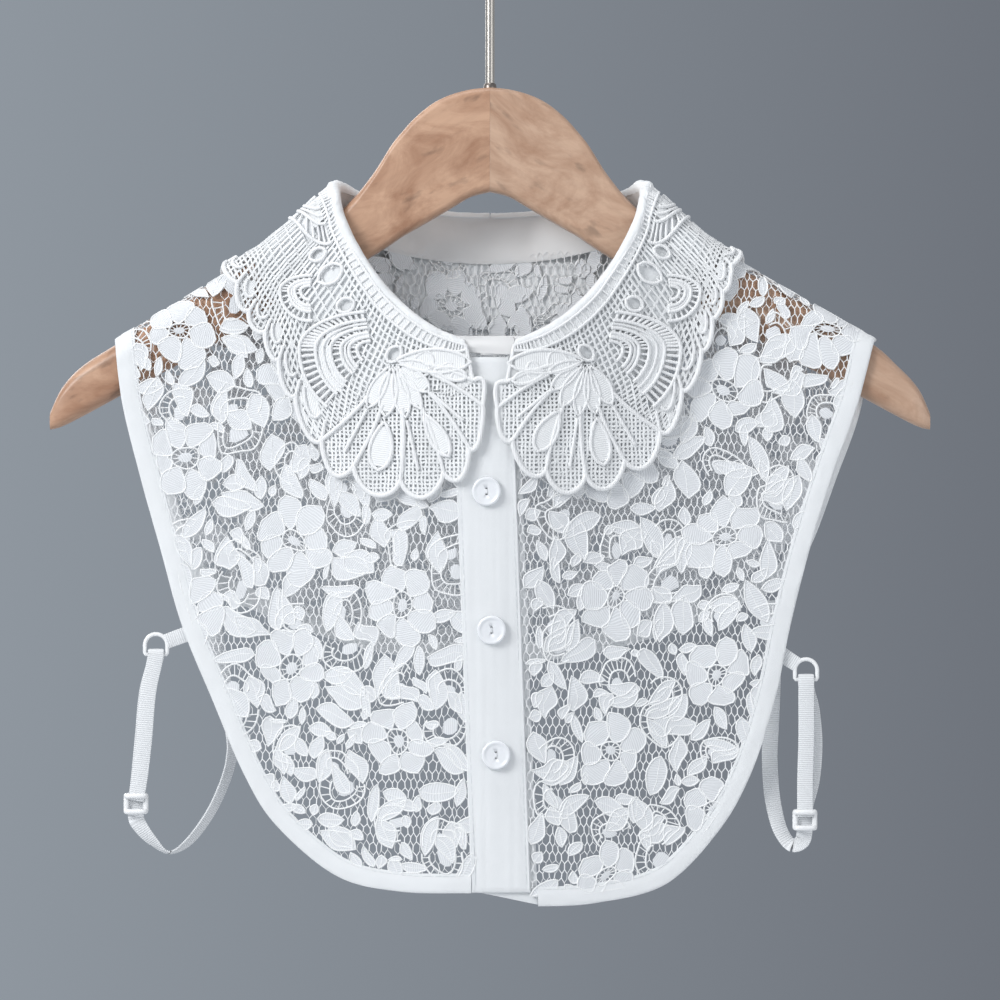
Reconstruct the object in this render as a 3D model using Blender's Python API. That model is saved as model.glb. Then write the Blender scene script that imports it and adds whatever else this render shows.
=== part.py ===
# Lace dickey collar with side straps, hung on a wooden hanger
import math

import bmesh
import bpy
from mathutils import Matrix, Vector

# Driving dimensions, in metres. The origin is the inner top of the hook's crook,
# +X is the viewer's right, +Y points away from the viewer and +Z is up.
MM = 0.001
CLEAR = 0.3 * MM
SEAM = CLEAR / 2
LEFT, RIGHT = -1, 1
FRONT, BACK = 1, -1

# The ridge: where the cloth folds over the hanger's arms
NECK_HALF = 83 * MM
NECK_RIDGE_Z = -157.6 * MM
SHOULDER_Z = -205 * MM
SHOULDER_HALF = {LEFT: 161.6 * MM, RIGHT: 166.4 * MM}
RIDGE_SLOPE = (NECK_RIDGE_Z - SHOULDER_Z) / (SHOULDER_HALF[LEFT] - NECK_HALF)
RIDGE_RADIUS = 8.5 * MM
RIDGE_QUARTER = RIDGE_RADIUS * math.pi / 2

# How far the cloth stands off between neck and hem
FRONT_SWELL, FRONT_SPREAD = 22 * MM, 62 * MM
BACK_SWELL, BACK_SPREAD = 13 * MM, 70 * MM
SWELL_RUN = 40 * MM
SWELL_TOP_Z, SWELL_HEM_Z, SWELL_HEM_SHARE = -215 * MM, -440 * MM, 0.45

# Cloth walls
PANEL_THICK = 1.2 * MM
BINDING_THICK, BINDING_WIDTH = 1.8 * MM, 8.5 * MM
STAND_THICK = 1.2 * MM
UNDER_COLLAR_FROM, UNDER_COLLAR_TO = 1.3 * MM, 2.3 * MM
LACE_FROM, LACE_TO = 3.1 * MM, 4.7 * MM
PETAL_RAISE = 0.7 * MM

# Neck seam and collar fold, by the turn round the neck: 0 is front, 180 is back
SEAM_FRONT_Z, SEAM_BACK_Z = -212 * MM, -171 * MM
SEAM_SIDE_Z = -152.75 * MM
FOLD_HALF, FOLD_FRONT_Y, FOLD_BACK_Y = 66 * MM, 30 * MM, 22 * MM
FOLD_FRONT_Z, FOLD_SIDE_Z, FOLD_BACK_Z = -208 * MM, -138 * MM, -150 * MM
NECK_TRIM = 1.4 * MM
FOLD_ROUND = 14

# Button strip
PLACKET_TOP_Z, PLACKET_HEM_Z = -212.8 * MM, -441.5 * MM
PLACKET_WIDTH, PLACKET_TOP_X, PLACKET_SLANT = 25.4 * MM, -3.4 * MM, 0.0354
PLACKET_FROM, PLACKET_TO = -0.9 * MM, 0.9 * MM
UNDER_PLACKET_HEM_Z = -446.8 * MM
UNDER_PLACKET_FROM, UNDER_PLACKET_TO = -2.4 * MM, -1.2 * MM
UNDER_PLACKET_SHOWS, UNDER_PLACKET_HIDES = 3.0 * MM, 2.5 * MM
BUTTON_RADIUS, BUTTON_THICK, BUTTON_RIM = 6.3 * MM, 2.6 * MM, 1.2 * MM
BUTTON_FOOT, BUTTON_BELLY, BUTTON_SHOULDER = 0.8 * MM, 0.9 * MM, 0.4 * MM
BUTTON_DISH = 0.9 * MM
BUTTON_FACETS = 20
STRIP_COLUMNS, STRIP_ROWS = 3, 15
BUTTON_Z = (-269.7 * MM, -328.7 * MM, -382.2 * MM)

# Armhole and hem of a front, from the shoulder down to the button strip, in mm:
# left x, left z, right x, right z
FRONT_EDGE = (
    (161.6, -200.2, 166.4, -200.2),
    (158.2, -230.5, 158.6, -230.5),
    (150.4, -262.8, 147.2, -262.8),
    (141.4, -295.1, 137.2, -295.1),
    (132.3, -327.4, 129.0, -327.4),
    (119.0, -359.8, 122.2, -359.8),
    (105.2, -392.1, 111.6, -392.1),
    (91.4, -413.6, 97.5, -416.5),
    (65.7, -434.8, 75.0, -438.6),
    (38.8, -441.2, 45.0, -446.2),
    (9.2, -441.7, 21.8, -447.4),
)
FRONT_CORNER = 0.72

# Armhole and hem of the back, from the shoulder down to its middle, in the same columns
BACK_EDGE = (
    (161.6, -200.2, 166.4, -200.2),
    (157.0, -235.0, 160.2, -235.0),
    (147.0, -265.0, 149.6, -265.0),
    (138.0, -292.0, 139.5, -292.0),
    (129.0, -308.0, 130.0, -308.0),
    (110.0, -318.0, 110.0, -318.0),
    (75.0, -332.0, 75.0, -332.0),
    (38.0, -341.5, 38.0, -341.5),
    (0.0, -345.0, 0.0, -345.0),
)
BACK_CORNER = 0.5

# Grids of the panels, closer together where they turn over the ridge
FRONT_COLUMNS, BACK_COLUMNS = 17, 26
FRONT_ROW_SHARES = (0.0, 0.02, 0.04, 0.06, 0.1, 0.17, 0.25, 0.34, 0.43, 0.52,
                    0.61, 0.7, 0.79, 0.87, 0.94, 1.0)
BACK_ROW_SHARES = (0.0, 0.022, 0.045, 0.07, 0.098, 0.13, 0.22, 0.33, 0.44,
                   0.56, 0.68, 0.79, 0.9, 1.0)
FRONT_NECKLINE_SHARE, BACK_NECKLINE_SHARE = 0.55, 0.5
NECKLINE_CROWDING = 1.7
FRONT_BINDING_COLUMNS, BACK_BINDING_COLUMNS = 40, 68
BINDING_RIDGE_COLUMNS, BINDING_RIDGE_SHARE = 0.1, 0.06
SLOPE_STEP = 0.4 * MM
CURVE_STEP = 0.02

# Soft folds that the hung cloth keeps: face, middle x, spread, depth, top z, foot z
FOLDS = (
    (FRONT, -104, 15, 1.6, -225, -400),
    (FRONT, -58, 12, 1.3, -290, -425),
    (FRONT, 62, 13, 1.5, -285, -430),
    (FRONT, 108, 14, 1.8, -225, -405),
    (BACK, -70, 16, 1.8, -215, -325),
    (BACK, 52, 18, 1.8, -220, -330),
    (BACK, 112, 13, 1.4, -215, -300),
)

# Outer edge of the lace collar, a row for each notch between two scallops:
# turn round the neck, left x, left drop below the ridge, right x, right drop
COLLAR_EDGE = (
    (7, 2.0, 132, 2.2, 130),
    (12, 7.3, 149, 8.2, 142),
    (18, 18.1, 154, 22.6, 148),
    (26, 37.0, 147, 40.0, 141),
    (35, 58.2, 128, 57.3, 125),
    (45, 72.4, 108, 73.3, 103),
    (55, 84.0, 81, 82.8, 79),
    (64, 91.4, 60, 91.4, 56),
    (72, 97.4, 44, 96.1, 39),
    (80, 105.0, 30, 101.0, 24),
    (86, 110.5, 14, 104.5, 11),
    (90, 114.0, 0, 107.0, 0),
    (95, 114.0, -14, 108.0, -14),
    (102, 112.0, -28, 107.0, -28),
    (112, 104.0, -42, 101.0, -42),
    (125, 88.0, -50, 88.0, -50),
    (140, 62.0, -68, 62.0, -68),
    (155, 36.0, -84, 36.0, -84),
    (168, 16.0, -98, 16.0, -98),
    (180, 0.15, -108, 0.15, -108),
)
SCALLOPS = len(COLLAR_EDGE) - 1
SCALLOP_STEPS = 4
SCALLOP_DEPTH = 0.085
LACE_ROWS = (0.0, 0.09, 0.2, 0.36, 0.55, 0.78, 1.0)
UNDER_ROWS = (0.0, 0.09, 0.2, 0.36, 0.62)
LAND = 0.5
WINDOW_SCALLOPS = (2, 4, 6, 8, 10, 12, 14, 16)
WINDOW_ROW = 2
WINDOW_HEAD, WINDOW_FOOT = -0.03, 0.035
UNDER_STEPS = 2
STAND_COLUMNS, STAND_ROWS = 56, 2

# Wooden hanger at stations out from its middle: x, upper edge, lower edge, thickness
# (no upper edge where the arm lies just under the cloth)
HANGER = (
    (0.15, -96.0, -140.8, 12.6),
    (8.4, -96.9, -143.0, 12.6),
    (17.0, -99.2, -148.0, 12.6),
    (24.6, -102.9, -152.5, 12.6),
    (32.1, -108.9, -156.8, 12.6),
    (37.7, -115.0, -160.0, 12.6),
    (42.5, -121.0, -163.3, 12.6),
    (50.2, -133.1, -168.3, 12.6),
    (60.0, -145.0, -174.0, 12.6),
    (70.0, -153.2, -179.5, 12.6),
    (83.0, None, -186.8, 12.6),
    (120.0, None, -207.2, 12.6),
    (161.6, None, -230.0, 12.4),
    (176.0, -216.2, -237.8, 11.4),
    (184.5, -225.5, -242.0, 9.6),
    (189.5, -236.0, -243.3, 6.0),
)
HANGER_ROUND = 6.0 * MM
HANGER_UNDER = 1.9 * MM
HANGER_FACETS = 16

# Wire hook
WIRE_RADIUS = 2.0 * MM
CROOK_INNER = 20 * MM
CROOK_TIP_TURN, CROOK_END_TURN = 200, -48
SHANK_TOP_Z, SHANK_FOOT_Z = -56 * MM, -111 * MM
SOCKET_FOOT_Z = -111.6 * MM
SOCKET_RADIUS = WIRE_RADIUS + CLEAR
SOCKET_DEPTH = 30 * MM
CROOK_STEPS, BEND_STEPS = 22, 7

# Side straps: elastic band, ring and slider
STRAP_WIDTH, STRAP_THICK = 6.8 * MM, 1.0 * MM
TAB_THICK = 1.4 * MM
STRAP_Y = -6.6 * MM
RING_WIRE, RING_HALF = 0.9 * MM, 4.8 * MM
RING_BAR_DROP = 3.9 * MM
RING_CENTRE = {LEFT: (-143.5 * MM, -336.0 * MM), RIGHT: (135.8 * MM, -346.8 * MM)}
TAB_START = {LEFT: (-127.0 * MM, -330.0 * MM), RIGHT: (124.5 * MM, -339.5 * MM)}
SLIDER_CENTRE = {LEFT: (-152.1 * MM, -404.0 * MM), RIGHT: (135.3 * MM, -411.0 * MM)}
SLIDER_TILT = {LEFT: 5, RIGHT: 0}
SLIDER_WIDTH, SLIDER_HEIGHT, SLIDER_DEPTH = 10.6 * MM, 9.0 * MM, 7.8 * MM
SLIDER_WALL_SIDE, SLIDER_WALL_FACE = 1.2 * MM, 1.2 * MM
STRAP_STATIONS = 72

# Band from the slider up round the ring's bar, down again and round to the back:
# x, y, z in mm and the turn of its face away from the viewer in degrees
STRAP_PATH = {
    LEFT: (
        (-152.0, -8.4, -402.5, 0),
        (-150.2, -8.4, -392.0, 0),
        (-148.4, -8.4, -376.0, 0),
        (-146.8, -8.4, -357.0, 0),
        (-144.4, -8.5, -345.0, 0),
        (-143.5, -8.5, -340.4, 0),
        (-143.5, -7.9, -338.6, 0),
        (-143.5, -6.6, -338.0, 0),
        (-143.5, -5.3, -338.6, 0),
        (-143.5, -4.7, -340.4, 0),
        (-144.6, -4.7, -345.0, 0),
        (-147.6, -4.6, -357.0, 0),
        (-149.4, -4.6, -376.0, 0),
        (-150.9, -4.8, -392.0, 0),
        (-151.8, -4.8, -400.0, 0),
        (-152.3, -4.8, -409.4, 0),
        (-150.4, -4.6, -414.0, 18),
        (-145.0, -3.6, -420.5, 50),
        (-138.2, -1.5, -425.4, 80),
        (-129.6, 1.0, -420.6, 62),
        (-120.9, 3.2, -409.0, 58),
        (-114.8, 5.0, -396.0, 56),
        (-111.8, 6.0, -385.0, 52),
        (-111.6, 6.4, -374.0, 40),
        (-115.6, 6.8, -350.0, 10),
        (-121.4, 7.0, -317.0, 0),
    ),
    RIGHT: (
        (135.3, -8.4, -409.5, 0),
        (135.3, -8.4, -394.0, 0),
        (135.8, -8.4, -376.0, 0),
        (135.8, -8.4, -361.0, 0),
        (135.8, -8.5, -356.0, 0),
        (135.8, -8.5, -351.2, 0),
        (135.8, -7.9, -349.4, 0),
        (135.8, -6.6, -348.8, 0),
        (135.8, -5.3, -349.4, 0),
        (135.8, -4.7, -351.2, 0),
        (136.4, -4.7, -356.0, 0),
        (138.4, -4.4, -364.0, 0),
        (139.6, -4.2, -378.0, 0),
        (138.6, -4.4, -393.0, 0),
        (135.8, -4.8, -404.5, 0),
        (135.3, -4.8, -410.0, 0),
        (135.3, -4.7, -416.4, 0),
        (134.0, -4.2, -420.6, 20),
        (129.6, -2.2, -422.0, 35),
        (125.4, -0.2, -416.4, 24),
        (123.0, 1.5, -408.4, 12),
        (121.4, 3.0, -398.0, 0),
        (120.8, 4.5, -384.0, 0),
        (121.4, 5.5, -372.0, 0),
        (122.0, 6.4, -359.0, 0),
        (122.4, 6.8, -345.0, 0),
        (122.6, 7.0, -317.0, 0),
    ),
}

# Colours with roughness and metallic values
FINISHES = {
    "body_lace": ((0.86, 0.88, 0.9), 0.9, 0.0),
    "cotton": ((0.88, 0.9, 0.92), 0.85, 0.0),
    "guipure": ((0.9, 0.91, 0.92), 0.8, 0.0),
    "elastic": ((0.9, 0.91, 0.92), 0.7, 0.0),
    "button": ((0.88, 0.89, 0.9), 0.3, 0.0),
    "plastic": ((0.9, 0.9, 0.9), 0.35, 0.0),
    "wood": ((0.58, 0.32, 0.18), 0.45, 0.0),
    "steel": ((0.7, 0.7, 0.7), 0.2, 1.0),
}


def clear_scene():
    for obj in list(bpy.data.objects):
        bpy.data.objects.remove(obj, do_unlink=True)


def finish(name):
    material = bpy.data.materials.get(name)
    if material is None:
        material = bpy.data.materials.new(name)
        material.use_nodes = True
        colour, roughness, metallic = FINISHES[name]
        shader = material.node_tree.nodes["Principled BSDF"]
        shader.inputs["Base Color"].default_value = (*colour, 1)
        shader.inputs["Roughness"].default_value = roughness
        shader.inputs["Metallic"].default_value = metallic
    return material


def add_object(name, mesh_data, material):
    mesh_data.materials.append(finish(material))
    obj = bpy.data.objects.new(name, mesh_data)
    bpy.context.collection.objects.link(obj)
    return obj


def close_mesh(name, bm, material):
    bmesh.ops.recalc_face_normals(bm, faces=bm.faces)
    if bm.calc_volume(signed=True) < 0:
        bmesh.ops.reverse_faces(bm, faces=bm.faces)
    mesh_data = bpy.data.meshes.new(name)
    bm.to_mesh(mesh_data)
    bm.free()
    mesh_data.shade_smooth()
    mesh_data.set_sharp_from_angle(angle=math.radians(40))
    return add_object(name, mesh_data, material)


def smooth_step(value):
    value = min(max(value, 0.0), 1.0)
    return value * value * (3 - 2 * value)


def curve_through(rows, place):
    """Point on a smooth curve through the rows, with place from 0 to the last row."""
    last = len(rows) - 1
    index = min(int(place), last - 1)
    share = place - index
    before = rows[max(index - 1, 0)]
    start = rows[index]
    end = rows[index + 1]
    after = rows[min(index + 2, last)]
    return tuple(
        0.5 * (2 * b + (c - a) * share + (2 * a - 5 * b + 4 * c - d) * share ** 2
               + (3 * b - 3 * c + d - a) * share ** 3)
        for a, b, c, d in zip(before, start, end, after)
    )


# The cloth's own surface

def ridge_z(x):
    half = SHOULDER_HALF[RIGHT if x > 0 else LEFT]
    slope = (NECK_RIDGE_Z - SHOULDER_Z) / (half - NECK_HALF)
    return NECK_RIDGE_Z - slope * (abs(x) - NECK_HALF)


def drop_to(x, z):
    """Length of cloth from the ridge down to height z."""
    return ridge_z(x) + RIDGE_QUARTER - RIDGE_RADIUS - z


def height_at(x, drop):
    return ridge_z(x) + RIDGE_QUARTER - RIDGE_RADIUS - abs(drop)


def stand_off(x, drop):
    face = FRONT if drop > 0 else BACK
    z = height_at(x, drop)
    swell, spread = (FRONT_SWELL, FRONT_SPREAD) if face == FRONT else (BACK_SWELL, BACK_SPREAD)
    fall = smooth_step((SWELL_TOP_Z - z) / (SWELL_TOP_Z - SWELL_HEM_Z))
    depth = swell * math.exp(-((x / spread) ** 2)) * (1 - (1 - SWELL_HEM_SHARE) * fall)
    for fold_face, middle, width, rise, top, foot in FOLDS:
        if fold_face != face:
            continue
        share = (top * MM - z) / ((top - foot) * MM)
        if 0 < share < 1:
            across = math.exp(-(((x - middle * MM) / (width * MM)) ** 2))
            depth += rise * MM * across * math.sin(math.pi * share) ** 2
    return depth * smooth_step((abs(drop) - RIDGE_QUARTER) / SWELL_RUN)


def cloth_surface(x, drop):
    """Point of the hung cloth, with the drop counted over the ridge, front positive."""
    face = FRONT if drop > 0 else BACK
    over = min(abs(drop), RIDGE_QUARTER) / RIDGE_RADIUS
    y = RIDGE_RADIUS * math.sin(over) + stand_off(x, drop)
    z = ridge_z(x) - RIDGE_RADIUS * (1 - math.cos(over))
    if abs(drop) > RIDGE_QUARTER:
        z = height_at(x, drop)
    return Vector((x, -face * y, z))


def outward(surface, a, b):
    along = surface(a + SLOPE_STEP, b) - surface(a - SLOPE_STEP, b)
    down = surface(a, b + SLOPE_STEP) - surface(a, b - SLOPE_STEP)
    return along.cross(down).normalized()


def on_cloth(x, drop, lift):
    return cloth_surface(x, drop) - outward(cloth_surface, x, drop) * lift


def wall(name, columns, rows, inner, outer, material, skip=()):
    """Closed wall between two surfaces, each a function of its place on a grid."""
    bm = bmesh.new()
    bmesh.ops.create_grid(bm, x_segments=columns, y_segments=rows, size=1)

    def place(vert):
        return round((vert.co.x + 1) / 2 * columns), round((vert.co.y + 1) / 2 * rows)

    cut = []
    for face in bm.faces:
        corner = tuple(min(place(vert)[axis] for vert in face.verts) for axis in (0, 1))
        if corner in skip:
            cut.append(face)
    bmesh.ops.delete(bm, geom=cut, context="FACES")
    sheet = bmesh.ops.extrude_face_region(bm, geom=bm.faces[:])
    raised = [item for item in sheet["geom"] if isinstance(item, bmesh.types.BMVert)]
    lifted = set(raised)
    for vert in bm.verts:
        column, row = place(vert)
        vert.co = outer(column, row) if vert in lifted else inner(column, row)
    return close_mesh(name, bm, material)


def loft(name, sides, stations, section, material):
    """Closed bar whose ring of points at each station comes from a function."""
    bm = bmesh.new()
    bmesh.ops.create_cone(
        bm, cap_ends=True, segments=sides, radius1=1, radius2=1, depth=1)
    upright = [edge for edge in bm.edges if abs(edge.verts[0].co.z - edge.verts[1].co.z) > 0.5]
    bmesh.ops.subdivide_edges(bm, edges=upright, cuts=stations - 1, use_grid_fill=True)
    for vert in bm.verts:
        side = round(math.atan2(vert.co.y, vert.co.x) / math.tau * sides) % sides
        station = round((vert.co.z + 0.5) * stations)
        vert.co = section(side, station)
    return close_mesh(name, bm, material)


# Armholes, hems and panels

def edge_rows(table, hand):
    start = 0 if hand == LEFT else 2
    rows = [(hand * row[start] * MM, row[start + 1] * MM) for row in table]
    rows[0] = (rows[0][0], height_at(rows[0][0], 0))
    return rows


def edge_point(table, hand, share, inset):
    """Place on a panel's outline, moved in by the inset, as x and height."""
    rows = edge_rows(table, hand)
    last = len(rows) - 1
    place = share * last
    x, z = curve_through(rows, place)
    ahead = curve_through(rows, min(place + CURVE_STEP, last))
    behind = curve_through(rows, max(place - CURVE_STEP, 0))
    along = Vector((ahead[0] - behind[0], ahead[1] - behind[1])).normalized()
    inward = Vector((-along.y, along.x)) * -hand
    top_x = rows[0][0]
    near_ridge = max(0.0, 1 - share * last)
    moved_x = x + inward.x * inset
    lean = (height_at(moved_x, 0) - height_at(top_x, 0)) * near_ridge
    return moved_x, z + inward.y * inset * (1 - near_ridge) + lean


def neck_turn(turn, out=0.0):
    """Neck seam at a turn round the neck, as half-width x and drop, front positive."""
    angle = math.radians(turn)
    rise = 0.5 * (1 - math.cos(angle)) + 0.5 * math.sin(angle) ** 2
    x = (NECK_HALF + out) * math.sin(angle)
    if turn <= 90:
        z = SEAM_FRONT_Z + (SEAM_SIDE_Z - SEAM_FRONT_Z) * rise
    else:
        z = SEAM_BACK_Z + (SEAM_SIDE_Z - SEAM_BACK_Z) * math.sin(angle) ** 2
    return x, z - out * (abs(math.cos(angle)) + RIDGE_SLOPE * math.sin(angle))


def neck_drop(hand, turn, out=0.0):
    half_x, z = neck_turn(turn, out)
    x = hand * max(half_x, SEAM)
    drop = max(drop_to(x, z), 0.0)
    return x, drop if turn <= 90 else -drop


def blend_patch(top, foot, inner, outer, across, down):
    """Place inside four boundary curves, as x and height."""
    corners = (top(0), top(1), foot(0), foot(1))
    upper, lower, near, far = top(across), foot(across), inner(down), outer(down)
    return tuple(
        (1 - down) * upper[i] + down * lower[i] + (1 - across) * near[i] + across * far[i]
        - (1 - down) * ((1 - across) * corners[0][i] + across * corners[1][i])
        - down * ((1 - across) * corners[2][i] + across * corners[3][i])
        for i in (0, 1)
    )


def placket_middle(z):
    return PLACKET_TOP_X + PLACKET_SLANT * (PLACKET_TOP_Z - z)


def front_inner_x(hand, z):
    """Edge of a front beside the button strip."""
    if hand == LEFT:
        return placket_middle(z) - PLACKET_WIDTH / 2 - CLEAR
    return placket_middle(z) + PLACKET_WIDTH / 2 + UNDER_PLACKET_SHOWS + CLEAR


def shoulder_seam(hand, table, share):
    neck_x = hand * (NECK_HALF + NECK_TRIM)
    outer_x = edge_point(table, hand, 0, BINDING_WIDTH + CLEAR)[0]
    x = neck_x + (outer_x - neck_x) * share
    return x, height_at(x, SEAM)


def towards_ridge(share):
    """Stations along the neckline that crowd together where it crosses the ridge."""
    return 1 - (1 - share) ** NECKLINE_CROWDING


def front_panel(name, hand):
    inset = BINDING_WIDTH + CLEAR
    columns, rows = FRONT_COLUMNS, len(FRONT_ROW_SHARES) - 1
    first_z = PLACKET_TOP_Z
    first_x = front_inner_x(hand, first_z)
    start_turn = math.degrees(math.asin(abs(first_x) / (NECK_HALF + NECK_TRIM)))

    def top(share):
        if share <= FRONT_NECKLINE_SHARE:
            turn = start_turn + (90 - start_turn) * towards_ridge(share / FRONT_NECKLINE_SHARE)
            half_x, z = neck_turn(turn, NECK_TRIM)
            x = hand * half_x
            return x, min(z, height_at(x, SEAM))
        along = (share - FRONT_NECKLINE_SHARE) / (1 - FRONT_NECKLINE_SHARE)
        return shoulder_seam(hand, FRONT_EDGE, along)

    def outer_side(share):
        return edge_point(FRONT_EDGE, hand, FRONT_CORNER * share, inset)

    def foot(share):
        return edge_point(FRONT_EDGE, hand, 1 - (1 - FRONT_CORNER) * share, inset)

    def inner_side(share):
        z = top(0)[1] + (foot(0)[1] - top(0)[1]) * share
        return front_inner_x(hand, z), z

    def face(lift):
        def point(column, row):
            x, z = blend_patch(top, foot, inner_side, outer_side,
                               column / columns, FRONT_ROW_SHARES[row])
            return on_cloth(x, max(drop_to(x, z), SEAM), lift)
        return point

    wall(name, columns, rows, face(-PANEL_THICK / 2), face(PANEL_THICK / 2), "body_lace")


def back_panel():
    inset = BINDING_WIDTH + CLEAR
    columns, rows = BACK_COLUMNS, len(BACK_ROW_SHARES) - 1

    def top(share):
        hand = LEFT if share < 0.5 else RIGHT
        from_middle = abs(share - 0.5) * 2
        if from_middle <= BACK_NECKLINE_SHARE:
            turn = 180 - 90 * towards_ridge(from_middle / BACK_NECKLINE_SHARE)
            half_x, z = neck_turn(turn, NECK_TRIM)
            x = hand * half_x
            return x, min(z, height_at(x, SEAM))
        along = (from_middle - BACK_NECKLINE_SHARE) / (1 - BACK_NECKLINE_SHARE)
        return shoulder_seam(hand, BACK_EDGE, along)

    def side(hand):
        return lambda share: edge_point(BACK_EDGE, hand, BACK_CORNER * share, inset)

    def foot(share):
        hand = LEFT if share < 0.5 else RIGHT
        along = 1 - (1 - BACK_CORNER) * abs(share - 0.5) * 2
        return edge_point(BACK_EDGE, hand, along, inset)

    def face(lift):
        def point(column, row):
            x, z = blend_patch(top, foot, side(LEFT), side(RIGHT),
                               column / columns, BACK_ROW_SHARES[row])
            return on_cloth(x, -max(drop_to(x, z), SEAM), lift)
        return point

    wall("back_panel", columns, rows, face(-PANEL_THICK / 2), face(PANEL_THICK / 2), "body_lace")


def binding_point(table, hand, face, share, inset, lift):
    x, z = edge_point(table, hand, share, inset)
    return on_cloth(x, face * max(drop_to(x, z), SEAM), lift)


def binding_share(share):
    """Close stations over the ridge, even ones below it."""
    near, part = BINDING_RIDGE_COLUMNS, BINDING_RIDGE_SHARE
    if share < near:
        return part * share / near
    return part + (1 - part) * (share - near) / (1 - near)


def front_binding(name, hand):
    columns = FRONT_BINDING_COLUMNS

    def face(lift):
        return lambda column, row: binding_point(
            FRONT_EDGE, hand, FRONT, binding_share(column / columns), BINDING_WIDTH * row, lift)

    wall(name, columns, 1, face(-BINDING_THICK / 2), face(BINDING_THICK / 2), "cotton")


def back_binding():
    columns = BACK_BINDING_COLUMNS

    def face(lift):
        def point(column, row):
            share = column / columns
            hand = LEFT if share < 0.5 else RIGHT
            along = 1 - abs(share - 0.5) * 2
            return binding_point(BACK_EDGE, hand, BACK, binding_share(along), BINDING_WIDTH * row, lift)
        return point

    wall("binding_back", columns, 1, face(-BINDING_THICK / 2), face(BINDING_THICK / 2), "cotton")


# Collar

def fold_point(hand, turn):
    """Fold of the collar, rounded where it passes over the shoulder."""
    near = [sharp_fold(hand, min(max(turn + side, 0), 180)) for side in (-FOLD_ROUND, 0, 0, FOLD_ROUND)]
    return sum(near, Vector()) / len(near)


def sharp_fold(hand, turn):
    angle = math.radians(turn)
    x = hand * max(FOLD_HALF * math.sin(angle), SEAM)
    if turn <= 90:
        rise = 0.5 * (1 - math.cos(angle)) + 0.5 * math.sin(angle) ** 2
        z = FOLD_FRONT_Z + (FOLD_SIDE_Z - FOLD_FRONT_Z) * rise
        y = -FOLD_FRONT_Y * math.cos(angle)
    else:
        z = FOLD_BACK_Z + (FOLD_SIDE_Z - FOLD_BACK_Z) * math.sin(angle) ** 2
        y = -FOLD_BACK_Y * math.cos(angle)
    return Vector((x, y, z))


def collar_row(hand, station):
    start = 1 if hand == LEFT else 3
    rows = [(row[0], row[start], row[start + 1]) for row in COLLAR_EDGE]
    return curve_through(rows, station)


def collar_base(hand, station, reach):
    """Collar before its layers: falls from the fold and lands on the cloth."""
    turn, edge_x, edge_drop = collar_row(hand, station)
    neck_x, start_drop = neck_drop(hand, turn, NECK_TRIM)
    x = neck_x + (hand * max(edge_x * MM, SEAM) - neck_x) * reach
    drop = start_drop + (edge_drop * MM - start_drop) * reach
    landed = on_cloth(x, drop, 0.0)
    rise = fold_point(hand, turn) - on_cloth(*neck_drop(hand, turn), 0.0)
    return landed + rise * (1 - smooth_step(reach / LAND))


def collar_face(hand, lift):
    """Point above the collar's base by a lift, found square to that base."""
    def point(station, reach):
        low, high = max(station - CURVE_STEP, 0.0), min(station + CURVE_STEP, float(SCALLOPS))
        near, far = max(reach - CURVE_STEP, 0.0), reach + CURVE_STEP
        along = collar_base(hand, high, reach) - collar_base(hand, low, reach)
        down = collar_base(hand, station, far) - collar_base(hand, station, near)
        return collar_base(hand, station, reach) + along.cross(down).normalized() * lift * -hand
    return point


def scallop(station):
    """Share of the reach lost at a notch between two scallops."""
    return SCALLOP_DEPTH * (1 - math.sin(math.pi * (station % 1.0)) ** 0.6)


def lace_collar(name, hand):
    columns, rows = SCALLOPS * SCALLOP_STEPS, len(LACE_ROWS) - 1
    skip = {(index * SCALLOP_STEPS + step, WINDOW_ROW)
            for index in WINDOW_SCALLOPS for step in (1, 2)}
    window_columns = {index * SCALLOP_STEPS + 2 for index in WINDOW_SCALLOPS}

    def face(level, relief):
        surface = collar_face(hand, level)
        raised = collar_face(hand, level + relief)

        def point(column, row):
            station = column / SCALLOP_STEPS
            reach = LACE_ROWS[row]
            if row == rows:
                reach -= scallop(station)
            if column in window_columns and row in (WINDOW_ROW, WINDOW_ROW + 1):
                reach += WINDOW_FOOT if row > WINDOW_ROW else WINDOW_HEAD
            on_petal = column % SCALLOP_STEPS == SCALLOP_STEPS // 2 and row > 1
            return (raised if on_petal else surface)(station, reach)
        return point

    wall(name, columns, rows, face(LACE_FROM, 0.0), face(LACE_TO, PETAL_RAISE), "guipure", skip)


def under_collar(name, hand):
    columns, rows = SCALLOPS * UNDER_STEPS, len(UNDER_ROWS) - 1

    def face(level):
        surface = collar_face(hand, level)
        return lambda column, row: surface(column / UNDER_STEPS, UNDER_ROWS[row])

    wall(name, columns, rows, face(UNDER_COLLAR_FROM), face(UNDER_COLLAR_TO), "cotton")


def collar_stand():
    columns, rows = STAND_COLUMNS, STAND_ROWS

    def base(share, rise):
        hand = LEFT if share < 0.5 else RIGHT
        turn = 180 - abs(share - 0.5) * 360
        foot = on_cloth(*neck_drop(hand, turn), 0.0)
        return foot.lerp(fold_point(hand, turn), rise)

    def face(level):
        def point(column, row):
            share = column / columns
            rise = row / rows
            step = 0.004
            along = base(min(share + step, 1), rise) - base(max(share - step, 0), rise)
            up = base(share, 1) - base(share, 0)
            return base(share, rise) + along.cross(up).normalized() * level
        return point

    wall("collar_stand", columns, rows, face(-STAND_THICK / 2), face(STAND_THICK / 2), "cotton")


# Button strip

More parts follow.
